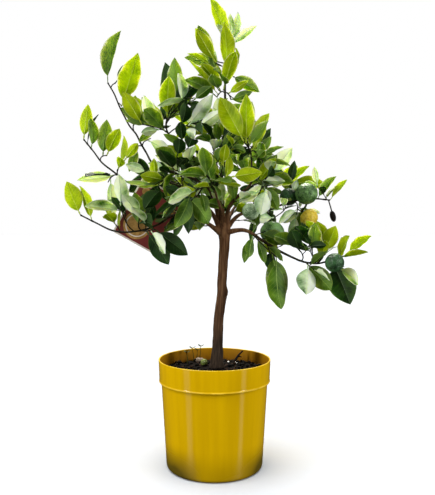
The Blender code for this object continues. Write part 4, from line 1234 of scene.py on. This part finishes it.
def addCalyx(shape, centre, axis):
    side = axis.orthogonal().normalized()
    up = axis.cross(side)
    rings = []
    for lift, share in calyx["profile"]:
        ring = []
        for i in range(calyx["sides"]):
            turn = 2 * math.pi * i / calyx["sides"]
            sepal = 1 + calyx["depth"] * math.cos(calyx["sepals"] * turn)
            spread = calyx["radius"] * share * sepal
            ring.append(centre + axis * lift + spread * (math.cos(turn) * side
                                                         + math.sin(turn) * up))
        rings.append(ring[::-1])
    addSkin(shape, rings, greenSlot)


# what leaves keep clear of: the limbs, and everything else that already has its place
def clearances(twigs):
    limbs = [bodyOf(coarse(trunkRings(gap)))]
    limbs += [bodyOf(coarse(boughRings(name, gap))) for name in boughs]
    hung = bmesh.new()
    hung.from_mesh(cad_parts["label_card"].data)
    taken = [bodyOf(hung)]
    for shoots in twigs.values():
        taken += [bodyOf(coarse(tubeRings(path, [2 * radius for radius in radii], 3)))
                  for path, radii in shoots]
    for _, _, _, centre, diameter, _ in fruit:
        ball = bmesh.new()
        bmesh.ops.create_icosphere(ball, subdivisions=2,
                                   radius=(diameter + fruitForm["room"]) / 2)
        squat = Matrix.Diagonal((1, 1, fruitForm["flattening"], 1))
        ball.transform(Matrix.Translation(centre) @ squat)
        taken.append(bodyOf(ball))
    return limbs, taken


# every mass with its shoots, its leaves and the finer twigs; the solids' own leaves grow first
def growAll():
    twigs = {name: growShoots(name) for name in masses}
    # seven knots along each shoot mark the mass's own space
    spaces = {name: [placeAlong(path, i / 6)[0] for path, _ in shoots for i in range(7)]
              for name, shoots in twigs.items()}
    room = (*clearances(twigs), spaces)
    poses = {name: growLeaves(name, shoots, room) for name, shoots in twigs.items()}
    print("leaves of the solids:", sum(len(found) for found in poses.values()))
    sprays = {}
    for name, shoots in twigs.items():
        finerTwigs, finerPoses = growFinerTwigs(name, shoots, room)
        sprays[name] = {"shoots": shoots, "poses": poses[name], "finerTwigs": finerTwigs,
                        "finerPoses": finerPoses}
    return sprays


def makeLeaves(sprays, woody):
    shapes = {tint: newShape() for tint in tints}
    for name, spray in sprays.items():
        for order, pose in enumerate(spray["poses"] + spray["finerPoses"]):
            rng = random.Random(f"{name} leaf {order}")
            tint = pose["tint"]
            if order >= len(spray["poses"]) and rng.random() < strayShare:
                tint = rng.choice(strays[tint])
            addLeaf(shapes[tint], pose, rng)
            if rng.random() < thorn["share"]:
                out = (pose["heading"] - pose["face"] * thorn["back"]).normalized()
                addThorn(woody, pose["root"], out, rng.uniform(*thorn["length"]))
    for tint, shape in shapes.items():
        piece = toObject(shape, tint + "Leaves", leafMaterials(tint))
        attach(piece, "root")
        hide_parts(*masses)
    print("leaf faces:", {tint: len(shape["faces"]) for tint, shape in shapes.items()})


def makeFruit(sprays, woody):
    fruits = newShape()
    for seed, (name, number, share, centre, diameter, peel) in enumerate(fruit):
        centre = Vector(centre)
        hang, _ = placeAlong(sprays[name]["shoots"][number][0], share)
        bend = hang.lerp(centre, 0.5) + upright * fruitForm["stalkArch"]
        axis = (bend - centre).normalized()
        top = centre + axis * diameter / 2 * fruitForm["stalkDepth"]
        stalk = smoothPath([hang, bend.lerp(top, 0.3), top], 0.002)
        addTube(woody, stalk, taper(stalk, fruitForm["stalkRadius"], fruitForm["stalkEnd"]), 8)
        addCalyx(woody, top + axis * calyx["lift"], axis)
        stretch = fruitForm["shrivelled" if peel == "dried" else "flattening"]
        addFruit(fruits, centre, diameter, axis, peelOrder.index(peel), seed, stretch)
    rinds = [oilyPeel(peel + "YuzuPeel", *shades) for peel, shades in peels.items()]
    # dried peel: nearly black and dull, like a raisin
    rinds.append(mottled("driedYuzuPeel", "#060505", "#1A1411", 0.8, 2, 0.15))
    hung = toObject(fruits, "yuzuFruit", rinds)
    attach(hung, "root")
    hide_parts(*sorted({row[0] for row in fruit}))
    print("fruit:", len(fruits["faces"]), "faces")


def makeFoliage():
    sprays = growAll()
    woody = newShape()
    finerKnots = [1 - finer["knotShare"] * i for i in range(finer["leaves"])]
    for spray in sprays.values():
        for number, (path, radii) in enumerate(spray["shoots"]):
            knots = [pose["share"] for pose in spray["poses"] if pose["shoot"] == number]
            stouter = twig["shootStouter"] if number else twig["stemStouter"]
            thick = [radii[0], *[radius * stouter for radius in radii[1:]]]
            addTwig(woody, path, thick, knots, twig["sunk"])
        for path, radii in spray["finerTwigs"]:
            addTwig(woody, path, radii, finerKnots, 0)
    makeLeaves(sprays, woody)
    makeFruit(sprays, woody)
    # dark olive bark of the shoots, painted nearly black as the shade of twigs seen against the
    # light; thorns and sepals are still fresh green
    shoots = toObject(woody, "twigs", [
        mottled("shadedTwigBark", "#0B0B05", "#26250F", 0.7, 4, 0.15),
        mottled("freshGreenThorn", "#5E7428", "#8FA044", 0.5, 3)])
    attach(shoots, "root")
    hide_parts(*masses)
    print("twigs:", len(woody["faces"]), "faces")


# Pot

pot = {
    "collarHeight": 0.039, "collarFoot": 0.0988, "bodyTop": 0.0952, "bodyFoot": 0.0856,
    "wall": 0.0024, "floor": 0.0035, "bead": 0.0006, "sides": 144,
    "footRounding": 0.007, "shoulderRounding": 0.0012, "rimRounding": 0.0011,
    "shoulder": 0.004, "innerRounding": 0.003, "floorRounding": 0.004,
}


# corners without rounding at shares of a wall's run, so that its shading stays straight
def straight(foot, top, shares):
    return [(foot[0] + (top[0] - foot[0]) * s, foot[1] + (top[1] - foot[1]) * s, 0)
            for s in shares]


# spins an outline of (radius, height) points about the pot's axis
def spun(points, sides):
    shape = bmesh.new()
    line = [shape.verts.new((r, 0, z)) for r, z in points]
    edges = [shape.edges.new(pair) for pair in zip(line, line[1:])]
    bmesh.ops.spin(shape, geom=line + edges, cent=(0, 0, 0), axis=(0, 0, 1), steps=sides,
                   angle=2 * math.pi, use_merge=True)
    bmesh.ops.remove_doubles(shape, verts=shape.verts, dist=0.00001)
    bmesh.ops.recalc_face_normals(shape, faces=shape.faces)
    return shape


def fromBmesh(shape, name, materials):
    mesh = bpy.data.meshes.new(name)
    shape.to_mesh(mesh)
    shape.free()
    mesh.shade_smooth()
    for made in materials:
        mesh.materials.append(made)
    return linked(name, mesh)


# the pot's section from the middle of its underside, up the outside and down the inside
def potOutline(rim, top):
    step = top - pot["collarHeight"]
    wall, bead, shoulder = pot["wall"], pot["bead"], pot["shoulder"]
    collar = (pot["collarFoot"], step + 4 * bead)
    return rounded((
        (0, 0, 0), (pot["bodyFoot"], 0, pot["footRounding"]),
        *straight((pot["bodyFoot"], 0), (pot["bodyTop"], step), (0.07, 0.96)),
        (pot["bodyTop"], step, pot["shoulderRounding"]), (collar[0] + bead, step, bead),
        (collar[0] + bead, step + 3 * bead, bead), (*collar, 0),
        *straight(collar, (rim, top), (0.05, 0.5)),
        (rim, top, pot["rimRounding"]), (rim - wall, top, pot["rimRounding"]),
        (pot["collarFoot"] - wall, step + shoulder, pot["innerRounding"]),
        (pot["bodyTop"] - wall, step - shoulder, pot["innerRounding"]),
        (pot["bodyFoot"] - wall, pot["floor"], pot["floorRounding"]), (0, pot["floor"], 0)), 6)


def makePot():
    top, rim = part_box("pot")[1].z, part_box("pot")[1].x
    step, bead = top - pot["collarHeight"], pot["bead"]
    shape = spun(potOutline(rim, top), pot["sides"])
    for face in shape.faces:
        middle = face.calc_center_median()
        out = Vector((middle.x, middle.y, 0))
        onRim = middle.z > top - pot["rimRounding"]
        onEdge = middle.z < step + 4 * bead and out.length > pot["bodyTop"] + 0.001
        # the rim and the collar's lower edge take the pale painted highlight
        if onRim or onEdge and middle.z > step - bead and face.normal.dot(out) > 0:
            face.material_index = 2
        # the inside above the floor takes the darker ochre of the painted shade
        elif middle.z > pot["floor"] - 0.0001 and face.normal.dot(out) < 0.01 * out.length:
            face.material_index = 1
    obj = fromBmesh(shape, "yellowPot", [
        mouldedPolypropylene(), shadedInnerPolypropylene(), edgeHighlightPolypropylene()])
    obj.data.set_sharp_from_angle(angle=math.radians(50))
    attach(obj, "root")
    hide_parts("pot")
    print("pot:", len(obj.data.polygons), "faces")
    return obj


# Compost

compost = {
    "rings": 34, "sectors": 150, "edgeHeight": 0.167, "footCorner": 0.006, "wallTop": 0.142,
    # lumps: spacing and height; crumbs and clods: spacing and height, and where they are calm
    "lumpSpacing": 0.022, "lump": 0.0035, "crumbSpacing": 0.0035, "crumb": 0.0016,
    "clodSpacing": 0.007, "clod": 0.00224, "calm": (0.012, 0.02),
}


# height of the compost at a place: highest round the trunk, lumpy, level at the wall
def compostHeight(x, y, radius):
    share = math.hypot(x, y) / radius
    rise = (soilTop - compost["edgeHeight"]) * (1 - share)
    lump = noise.noise(Vector((x, y, 0)) / compost["lumpSpacing"]) * compost["lump"]
    crumb = noise.noise(Vector((x, y, 5)) / compost["crumbSpacing"]) * compost["crumb"]
    clod = abs(noise.noise(Vector((x, y, 9)) / compost["clodSpacing"])) * compost["clod"]
    stem = math.hypot(x - trunk[0][0][0], y - trunk[0][0][1])
    near, reach = compost["calm"]
    calm = min(1, max(0, (stem - near) / reach))
    return compost["edgeHeight"] + rise + (lump + crumb + clod) * calm


def onCompost(x, y, radius, lift=0):
    return Vector((x, y, compostHeight(x, y, radius) + lift))


# the root ball's surface in rings from the wall to the middle, closed by its sides and foot
def makeCompost():
    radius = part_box("soil")[1].x
    count = compost["sectors"]
    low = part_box("soil")[0].z
    foot = pot["bodyFoot"] - pot["wall"] - gap
    walls = ((foot - compost["footCorner"], low), (foot, low + compost["footCorner"]),
             (pot["bodyTop"] - pot["wall"] - 2 * gap, compost["wallTop"]))
    rings = [ringAbout(upright * z, right, away, r, count) for r, z in walls]
    for k in range(compost["rings"]):
        out = radius * (1 - k / compost["rings"])
        turns = [2 * math.pi * i / count for i in range(count)]
        rings.append([onCompost(out * math.cos(a), out * math.sin(a), radius) for a in turns])
    shape = newShape()
    addSkin(shape, rings)
    ground = toObject(shape, "compost", [dampPeat()])
    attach(ground, "root")
    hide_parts("soil")
    makeCrumbs(radius)
    makeLitter(radius)
    print("compost:", len(shape["faces"]), "faces")


crumbs = {
    "count": 420, "size": (0.0012, 0.0042), "ring": (0.03, 0.93), "unevenness": 0.35,
    "facets": 1.6, "tilt": 0.5, "sunk": 0.3,
    # wet crumbs, shredded bark and perlite, and how often each comes
    "kinds": (0, 1, 2), "shares": (0.78, 0.20, 0.02), "perliteShare": 0.5,
    # the pale stone left of the trunk: place, size, stretch and slot
    "stone": (-0.028, 0.066, 0.008, (1.1, 0.8, 0.6), 3),
    # a scatter of white grit right of the trunk, which also stands for glints on the compost as
    # painted highlights
    "glintGritCount": 7, "glintGritPlace": (0.033, 0.058), "glintGritSpread": (0.009, 0.012),
    "glintGritSize": (0.0012, 0.0022), "glintGritStretch": (1, 0.8, 0.7),
}


# one uneven lump, turned at random and sunk by a share of its height
def addLump(shape, ball, rng, radius, x, y, size, stretch, slot):
    points, faces = ball
    first = len(shape["points"])
    turn = Matrix.Rotation(rng.uniform(0, 6.3), 3, upright)
    turn = turn @ Matrix.Rotation(rng.uniform(-crumbs["tilt"], crumbs["tilt"]), 3, right)
    base = onCompost(x, y, radius, size * (1 - crumbs["sunk"]) * stretch[2])
    offset = Vector([rng.uniform(0, 50) for _ in range(3)])
    for way in points:
        relief = noise.noise(way * crumbs["facets"] + offset)
        grown = way * size * (1 + crumbs["unevenness"] * relief)
        shape["points"].append(base + turn @ (grown * Vector(stretch)))
    shape["faces"].extend(tuple(first + i for i in face) for face in faces)
    shape["slots"].extend([slot] * len(faces))


def makeCrumbs(radius):
    rng = random.Random("chips")
    sphere = bmesh.new()
    bmesh.ops.create_icosphere(sphere, subdivisions=2, radius=1)
    ball = ([vert.co.copy() for vert in sphere.verts],
            [tuple(vert.index for vert in face.verts) for face in sphere.faces])
    sphere.free()
    shape = newShape()
    for _ in range(crumbs["count"]):
        out = radius * math.sqrt(rng.uniform(*crumbs["ring"]))
        turn = rng.uniform(0, 2 * math.pi)
        kind = rng.choices(crumbs["kinds"], crumbs["shares"])[0]
        size = rng.uniform(*crumbs["size"]) * (crumbs["perliteShare"] if kind == 2 else 1)
        stretch = (1.0, rng.uniform(0.5, 1), rng.uniform(0.35, 0.9))
        addLump(shape, ball, rng, radius, out * math.cos(turn), out * math.sin(turn), size,
                stretch, kind)
    addLump(shape, ball, rng, radius, *crumbs["stone"])
    for _ in range(crumbs["glintGritCount"]):
        x, y = [middle + rng.uniform(-spread, spread)
                for middle, spread in zip(crumbs["glintGritPlace"], crumbs["glintGritSpread"])]
        addLump(shape, ball, rng, radius, x, y, rng.uniform(*crumbs["glintGritSize"]),
                crumbs["glintGritStretch"], 2)
    # wet peat stays nearly black, shredded bark is brown, and expanded perlite and one rough
    # stone give the only pale dots; the grit right of the trunk is painted glints
    grit = toObject(shape, "compostCrumbs", [
        mottled("wetPeatCrumb", "#050403", "#15100B", 0.9, 2, 0.1),
        mottled("shreddedBark", "#140D08", "#38261A", 0.9, 3, 0.1),
        mottled("expandedPerlite", "#CFCDC6", "#F2F1EC", 0.8, 1),
        mottled("roughFieldStone", "#5C4E40", "#85766A", 0.7, 4)])
    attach(grit, "root")
    print("crumbs:", len(shape["faces"]), "faces")


# what lies and grows on the compost: a dropped fruitlet, a curled dead twig and seedlings
litter = {
    "fruitlet": (-0.019, 0.020), "fruitletSize": 0.0135, "fruitletLift": 0.005,
    "fruitletAxis": (0.4, -0.7, 0.6),
    # the twig's places are steps from where it starts, and its radii are at foot and tip
    "deadTwig": (0.034, 0.052), "curl": ((0.006, 0.004, 0.006), (0.013, 0.008, 0.015),
                                         (0.020, 0.010, 0.021)),
    "spur": ((0.004, 0.0, 0.001), (0.008, 0.002, -0.001)),
    "twigRadii": (0.0030, 0.0014), "spurRadii": (0.0020, 0.0008),
    "seedlings": ((-0.040, 0.072), (-0.036, 0.068), (-0.030, 0.070), (-0.052, 0.062)),
    "seedlingSway": (0.004, 0.003), "seedlingHeight": (0.020, 0.029),
    "seedlingBow": (0.001, 0, 0), "seedlingRadii": (0.0008, 0.0005), "seedLeafRise": 0.5,
    # each seedling's leaves: their turns, length, half width and half thickness, and how
    # wide they are at shares of the length
    "seedLeafTurns": (0.4, 2.4, 4.5), "seedLeaf": (0.008, 0.0026, 0.0003),
    "seedLeafForm": ((0, 0.15), (0.3, 0.8), (0.6, 1.0), (0.85, 0.6), (1, 0.08)),
}


def addDeadTwig(shape, radius):
    start = onCompost(*litter["deadTwig"], radius)
    curled = smoothPath([start, *[start + Vector(place) for place in litter["curl"]]], 0.002)
    addTube(shape, curled, taper(curled, *litter["twigRadii"]), 7, 1)
    fork = curled[len(curled) // 2]
    spur = [fork, *[fork + Vector(place) for place in litter["spur"]]]
    addTube(shape, spur, taper(spur, *litter["spurRadii"]), 6, 1)


def addSeedling(shape, base, rng):
    sway, back = litter["seedlingSway"]
    top = base + Vector((rng.uniform(-sway, sway), rng.uniform(-back, back),
                         rng.uniform(*litter["seedlingHeight"])))
    bow = base.lerp(top, 0.5) + Vector(litter["seedlingBow"])
    stem = smoothPath([base, bow, top], 0.002)
    addTube(shape, stem, taper(stem, *litter["seedlingRadii"]), 5, 2)
    length, wide, thick = litter["seedLeaf"]
    for turn in litter["seedLeafTurns"]:
        out = Vector((math.cos(turn), math.sin(turn), litter["seedLeafRise"])).normalized()
        side = out.cross(upright).normalized()
        up = side.cross(out)
        rings = []
        for s, w in litter["seedLeafForm"]:
            middle = top + out * s * length
            rings.append([middle + side * w * wide, middle + up * thick,
                          middle - side * w * wide, middle - up * thick])
        addSkin(shape, rings, 2)


def makeLitter(radius):
    shape = newShape()
    middle = onCompost(*litter["fruitlet"], radius, litter["fruitletLift"])
    axis = Vector(litter["fruitletAxis"]).normalized()
    addFruit(shape, middle, litter["fruitletSize"], axis, slot=0, seed=11)
    addDeadTwig(shape, radius)
    rng = random.Random("seedlings")
    for x, y in litter["seedlings"]:
        addSeedling(shape, onCompost(x, y, radius), rng)
    # the fruitlet has gone olive, the dead twig black, and the seedlings are a dark green
    piece = toObject(shape, "litter", [
        oilyPeel("olivePeel", "#2E3C14", "#4E5E24", "#74803C"),
        mottled("rottenTwigBark", "#080605", "#1E1612", 0.9, 2, 0.1),
        mottled("softGreenStem", "#22280C", "#454E1C", 0.6, 2, 0.1)])
    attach(piece, "root")
    print("litter:", len(shape["faces"]), "faces")


# Label card, hung from its bough

card = {
    "width": 0.088, "height": 0.112, "thickness": 0.0008, "lean": 29, "bough": "bough_left_mid",
    "place": 0.60, "strapWidth": 0.007, "strapLength": 0.010, "strapLap": 0.002,
    "loopWall": 0.0009, "loopSides": 32, "corner": 0.005, "margin": 0.003, "ink": 0.00004,
    # printed rounds: across, up from the foot, radius, slot
    "rounds": ((-0.011, 0.031, 0.025, 2), (-0.011, 0.031, 0.021, 0), (-0.011, 0.031, 0.019, 2),
               (0.026, 0.086, 0.011, 2), (-0.026, 0.092, 0.007, 2)),
    # printed leaves: across, up from the foot, turn in degrees, length; then their half width
    # as a share of the length
    "leaves": ((0.014, 0.052, 55, 0.030), (-0.020, 0.064, 110, 0.024), (0.020, 0.020, -10, 0.018)),
    "leafBulge": 0.28,
}


# a pointed leaf's outline from its foot
def leafOutline(x, z, turn, length, steps=12):
    outline = []
    for i in range(2 * steps):
        s = i / steps if i <= steps else 2 - i / steps
        bulge = length * card["leafBulge"] * math.sin(math.pi * s) * (1 if i <= steps else -1)
        outline.append((x + length * s * math.cos(turn) + bulge * math.sin(turn),
                        z + length * s * math.sin(turn) - bulge * math.cos(turn)))
    return outline


def roundOutline(x, z, radius, steps=40):
    turns = [2 * math.pi * i / steps for i in range(steps)]
    return [(x + radius * math.cos(a), z + radius * math.sin(a)) for a in turns]


def roundedBox(low, high, corner, steps=5):
    outline = []
    middles = ((high[0] - corner, high[1] - corner, 0), (low[0] + corner, high[1] - corner, 90),
               (low[0] + corner, low[1] + corner, 180), (high[0] - corner, low[1] + corner, 270))
    for x, z, turn in middles:
        for i in range(steps + 1):
            a = math.radians(turn + 90 * i / steps)
            outline.append((x + corner * math.cos(a), z + corner * math.sin(a)))
    return outline


# adds a flat plate of even thickness from an outline in the card's own across and up places
def addPlate(shape, outline, origin, axes, front, back, slot):
    across, out, up = axes
    rings = [[origin + across * x + up * z + out * y for x, z in outline] for y in (back, front)]
    addSkin(shape, rings, slot)


# a plain print: a coloured panel inside a pale margin, with gold rounds and three leaves, as
# (outline, slot) pairs from the lowest ink to the highest
def cardPrints(wide, low, top):
    margin = card["margin"]
    panel = roundedBox((-wide + margin, low + margin), (wide - margin, top - margin),
                       card["corner"] - margin / 2)
    rounds = [(roundOutline(x, low + z, radius), slot) for x, z, radius, slot in card["rounds"]]
    leaves = [(leafOutline(x, low + z, math.radians(turn), length), 3)
              for x, z, turn, length in card["leaves"]]
    return [(panel, 1), *rounds, *leaves]


def makeCard():
    _, foot, tip, places = boughs[card["bough"]]
    hang, along = placeAlong(smoothPath(places, boughStep), card["place"])
    lean = math.radians(card["lean"])
    up = Vector((math.sin(lean), 0, math.cos(lean)))
    out = -away
    axes = (up.cross(out), out, up)
    hole = thicknessAt(card["place"], foot, tip) + 2 * gap
    loop = hole + card["loopWall"]
    half = card["thickness"] / 2
    top = -loop - card["strapLength"]
    low = top - card["height"]
    wide = card["width"] / 2
    shape = newShape()
    addPlate(shape, roundedBox((-wide, low), (wide, top), card["corner"]), hang, axes,
             half, -half, 0)
    strap = card["strapWidth"] / 2
    lap, end = top - card["strapLap"], -hole - card["loopWall"] / 2
    addPlate(shape, [(strap, lap), (strap, end), (-strap, end), (-strap, lap)], hang, axes,
             half, -half, 0)
    side = along.orthogonal().normalized()
    turned = along.cross(side)
    rings = [ringAbout(hang + along * place, side, turned, radius, card["loopSides"])
             for place, radius in ((-strap, loop), (strap, loop), (strap, hole), (-strap, hole))]
    addSkin(shape, [*rings, rings[0]], 0, False, False)
    for face in (1, -1):
        for layer, (outline, slot) in enumerate(cardPrints(wide, low, top), 1):
            near, far = half + layer * card["ink"], half / 2
            depths = (near, far) if face > 0 else (-far, -near)
            addPlate(shape, outline, hang, axes, *depths, slot)
    # coated card: a pale edge with a satin gloss, and flat printing inks that have faded a little
    piece = toObject(shape, "hangingCard", [
        mottled("coatedCard", "#C9BFB2", "#DDD5C8", 0.4, 50),
        mottled("printedRedInk", "#5E201C", "#742C26", 0.4, 50),
        mottled("printedGoldInk", "#8E6A34", "#B48C4C", 0.4, 6),
        mottled("printedGreenInk", "#3C5222", "#546C30", 0.4, 10)], smooth=False)
    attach(piece, "root")
    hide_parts("label_card")
    print("card:", len(shape["faces"]), "faces")


# Studio

studio = {
    "cameraDistance": 1.08, "cameraHeight": 0.418, "sensor": 36,
    "imageWidth": 435, "imageHeight": 495, "focalPixels": 600,
    "axisColumn": 214.5, "axisRow": 232,
    "backdropColour": "#FFFFFF", "skyColour": "#EEF0EE", "skyStrength": (0.04, 0.48),
    # tall soft boxes: turn from the front, half width in degrees and strength
    "softBoxes": ((-58, 8, 1.3), (62, 6, 1.6)),
    "floorDark": "#F4F4F2", "floorColour": "#ECF1FB", "floorGlow": 0.05, "floorRadius": 60,
    # a far lamp: degrees that it is tipped from straight above about X and Y, width, strength
    "softSun": ((-34, -4), 16, 5.3, "#FFFBF2"), "floorSun": ((3, -5), 50, 2.55, "#FFFFFF"),
    # panels: place, aim, width and height, power and colour
    "panels": {
        "rimPanel": ((0.7, 1.4, 1.95), (0, 0, 0.5), (0.8, 0.8), 16, "#FFF6E4"),
        "leftKey": ((-0.9, -0.7, 1.5), (0.05, 0, 0.5), (0.35, 0.35), 9, "#FFFDF6"),
        "leftStrip": ((-1.31, -0.92, 0.7), (0, 0, 0.25), (0.22, 1.3), 18, "#FFFFFF"),
        "rightStrip": ((1.39, -0.8, 0.7), (0, 0, 0.25), (0.35, 1.3), 20, "#FFFFFF"),
    },
}


def areaLight(name, place, aim, size, power, colour):
    lamp = bpy.data.lights.new(name, "AREA")
    lamp.shape = "RECTANGLE"
    lamp.size, lamp.size_y = size
    lamp.energy = power
    lamp.color = linear(colour)[:3]
    obj = linked(name, lamp)
    obj.location = place
    obj.rotation_euler = (Vector(aim) - Vector(place)).to_track_quat("-Z", "Y").to_euler()
    obj.visible_camera = False
    return obj


def sunLight(name, tips, angle, strength, colour):
    lamp = bpy.data.lights.new(name, "SUN")
    lamp.energy = strength
    lamp.angle = math.radians(angle)
    lamp.color = linear(colour)[:3]
    obj = linked(name, lamp)
    obj.rotation_euler = (math.radians(tips[0]), math.radians(tips[1]), 0)
    return obj


# a group of one piece that a lamp lights, or leaves out
def linkGroup(name, piece, state):
    group = bpy.data.collections.new(name)
    group.objects.link(piece)
    group.collection_objects[0].light_linking.link_state = state
    return group


# the plant is lit by a sky that is dim at the horizon, and the backdrop is plain white
def makeSky(scene):
    world = bpy.data.worlds.new("studioWorld")
    scene.world = world
    world.use_nodes = True
    tree = world.node_tree
    sky = tree.nodes["Background"]
    sky.inputs["Color"].default_value = linear(studio["skyColour"])
    place = addNode(tree, "ShaderNodeTexCoord")
    apart = addNode(tree, "ShaderNodeSeparateXYZ", links={0: (place, "Generated")})
    low, high = studio["skyStrength"]
    total = addNode(tree, "ShaderNodeMapRange", {"interpolation_type": "SMOOTHSTEP"},
                    {"From Min": -0.1, "From Max": 0.6, "To Min": low, "To Max": high},
                    {0: (apart, "Z")})
    # the soft boxes go by bearing alone
    level = addNode(tree, "ShaderNodeVectorMath", {"operation": "MULTIPLY"}, {1: (1, 1, 0)},
                    {0: (place, "Generated")})
    bearing = addNode(tree, "ShaderNodeVectorMath", {"operation": "NORMALIZE"},
                      links={0: (level, 0)})
    for turn, half, strength in studio["softBoxes"]:
        middle = (math.sin(math.radians(turn)), -math.cos(math.radians(turn)), 0)
        facing = addNode(tree, "ShaderNodeVectorMath", {"operation": "DOT_PRODUCT"},
                         {1: middle}, {0: (bearing, 0)})
        box = addNode(tree, "ShaderNodeMapRange", {"interpolation_type": "SMOOTHSTEP"},
                      {"From Min": math.cos(math.radians(half)),
                       "From Max": math.cos(math.radians(half / 2)), "To Max": strength},
                      {0: (facing, "Value")})
        total = addNode(tree, "ShaderNodeMath", links={0: (total, 0), 1: (box, 0)})
    linkTo(tree, sky, {"Strength": (total, 0)})
    backdrop = addNode(tree, "ShaderNodeBackground",
                       values={"Color": linear(studio["backdropColour"]), "Strength": 1})
    seen = addNode(tree, "ShaderNodeLightPath")
    mixed = addNode(tree, "ShaderNodeMixShader",
                    links={0: (seen, "Is Camera Ray"), 1: (sky, 0), 2: (backdrop, 0)})
    linkTo(tree, tree.nodes["World Output"], {"Surface": (mixed, 0)})


# matt floor paint: plain and pale, with a faint glow so that it stays nearly white
def makeFloor():
    floor = bpy.data.meshes.new("studioFloor")
    reach = studio["floorRadius"]
    floor.from_pydata([(-reach, -reach, 0), (reach, -reach, 0), (reach, reach, 0),
                       (-reach, reach, 0)], [], [(0, 1, 2, 3)])
    paint = mottled("mattFloorPaint", studio["floorDark"], studio["floorColour"], 0.95, 500)
    shader = paint.node_tree.nodes["Principled BSDF"]
    shader.inputs["Emission Color"].default_value = linear(studio["floorColour"])
    shader.inputs["Emission Strength"].default_value = studio["floorGlow"]
    floor.materials.append(paint)
    ground = linked("studioFloor", floor)
    # a bright floor all round would veil the pot and the shaded leaves with its reflection
    ground.visible_diffuse = False
    ground.visible_glossy = False
    return ground


# the plant's own lamps, and a broad one for the floor alone, so that the pot stands in a small
# soft shadow
def makeLamps(ground, vessel):
    lamps = [sunLight("softSun", *studio["softSun"])]
    lamps += [areaLight(name, *panel) for name, panel in studio["panels"].items()]
    allButFloor = linkGroup("allButFloor", ground, "EXCLUDE")
    for lamp in lamps:
        lamp.light_linking.receiver_collection = allButFloor
    high = sunLight("floorLight", *studio["floorSun"])
    high.light_linking.receiver_collection = linkGroup("floorAlone", ground, "INCLUDE")
    high.light_linking.blocker_collection = linkGroup("potAlone", vessel, "INCLUDE")


# the photograph's view: the longer side of the picture takes the whole sensor
def makeCamera(scene):
    camera = linked("camera", bpy.data.cameras.new("camera"))
    tall = studio["imageHeight"]
    camera.data.sensor_width = studio["sensor"]
    camera.data.lens = studio["focalPixels"] * studio["sensor"] / tall
    camera.data.shift_x = (studio["imageWidth"] / 2 - studio["axisColumn"]) / tall
    camera.data.shift_y = (studio["axisRow"] - tall / 2) / tall
    camera.location = (0, -studio["cameraDistance"], studio["cameraHeight"])
    camera.rotation_euler = (math.radians(90), 0, 0)
    scene.camera = camera


def makeStudio(vessel):
    scene = bpy.context.scene
    scene.view_settings.view_transform = "Standard"
    makeSky(scene)
    makeLamps(makeFloor(), vessel)
    makeCamera(scene)
    print("studio ready")


vessel = makePot()
makeCompost()
makeWood()
makeCard()
makeFoliage()
makeStudio(vessel)
bpy.context.view_layer.update()
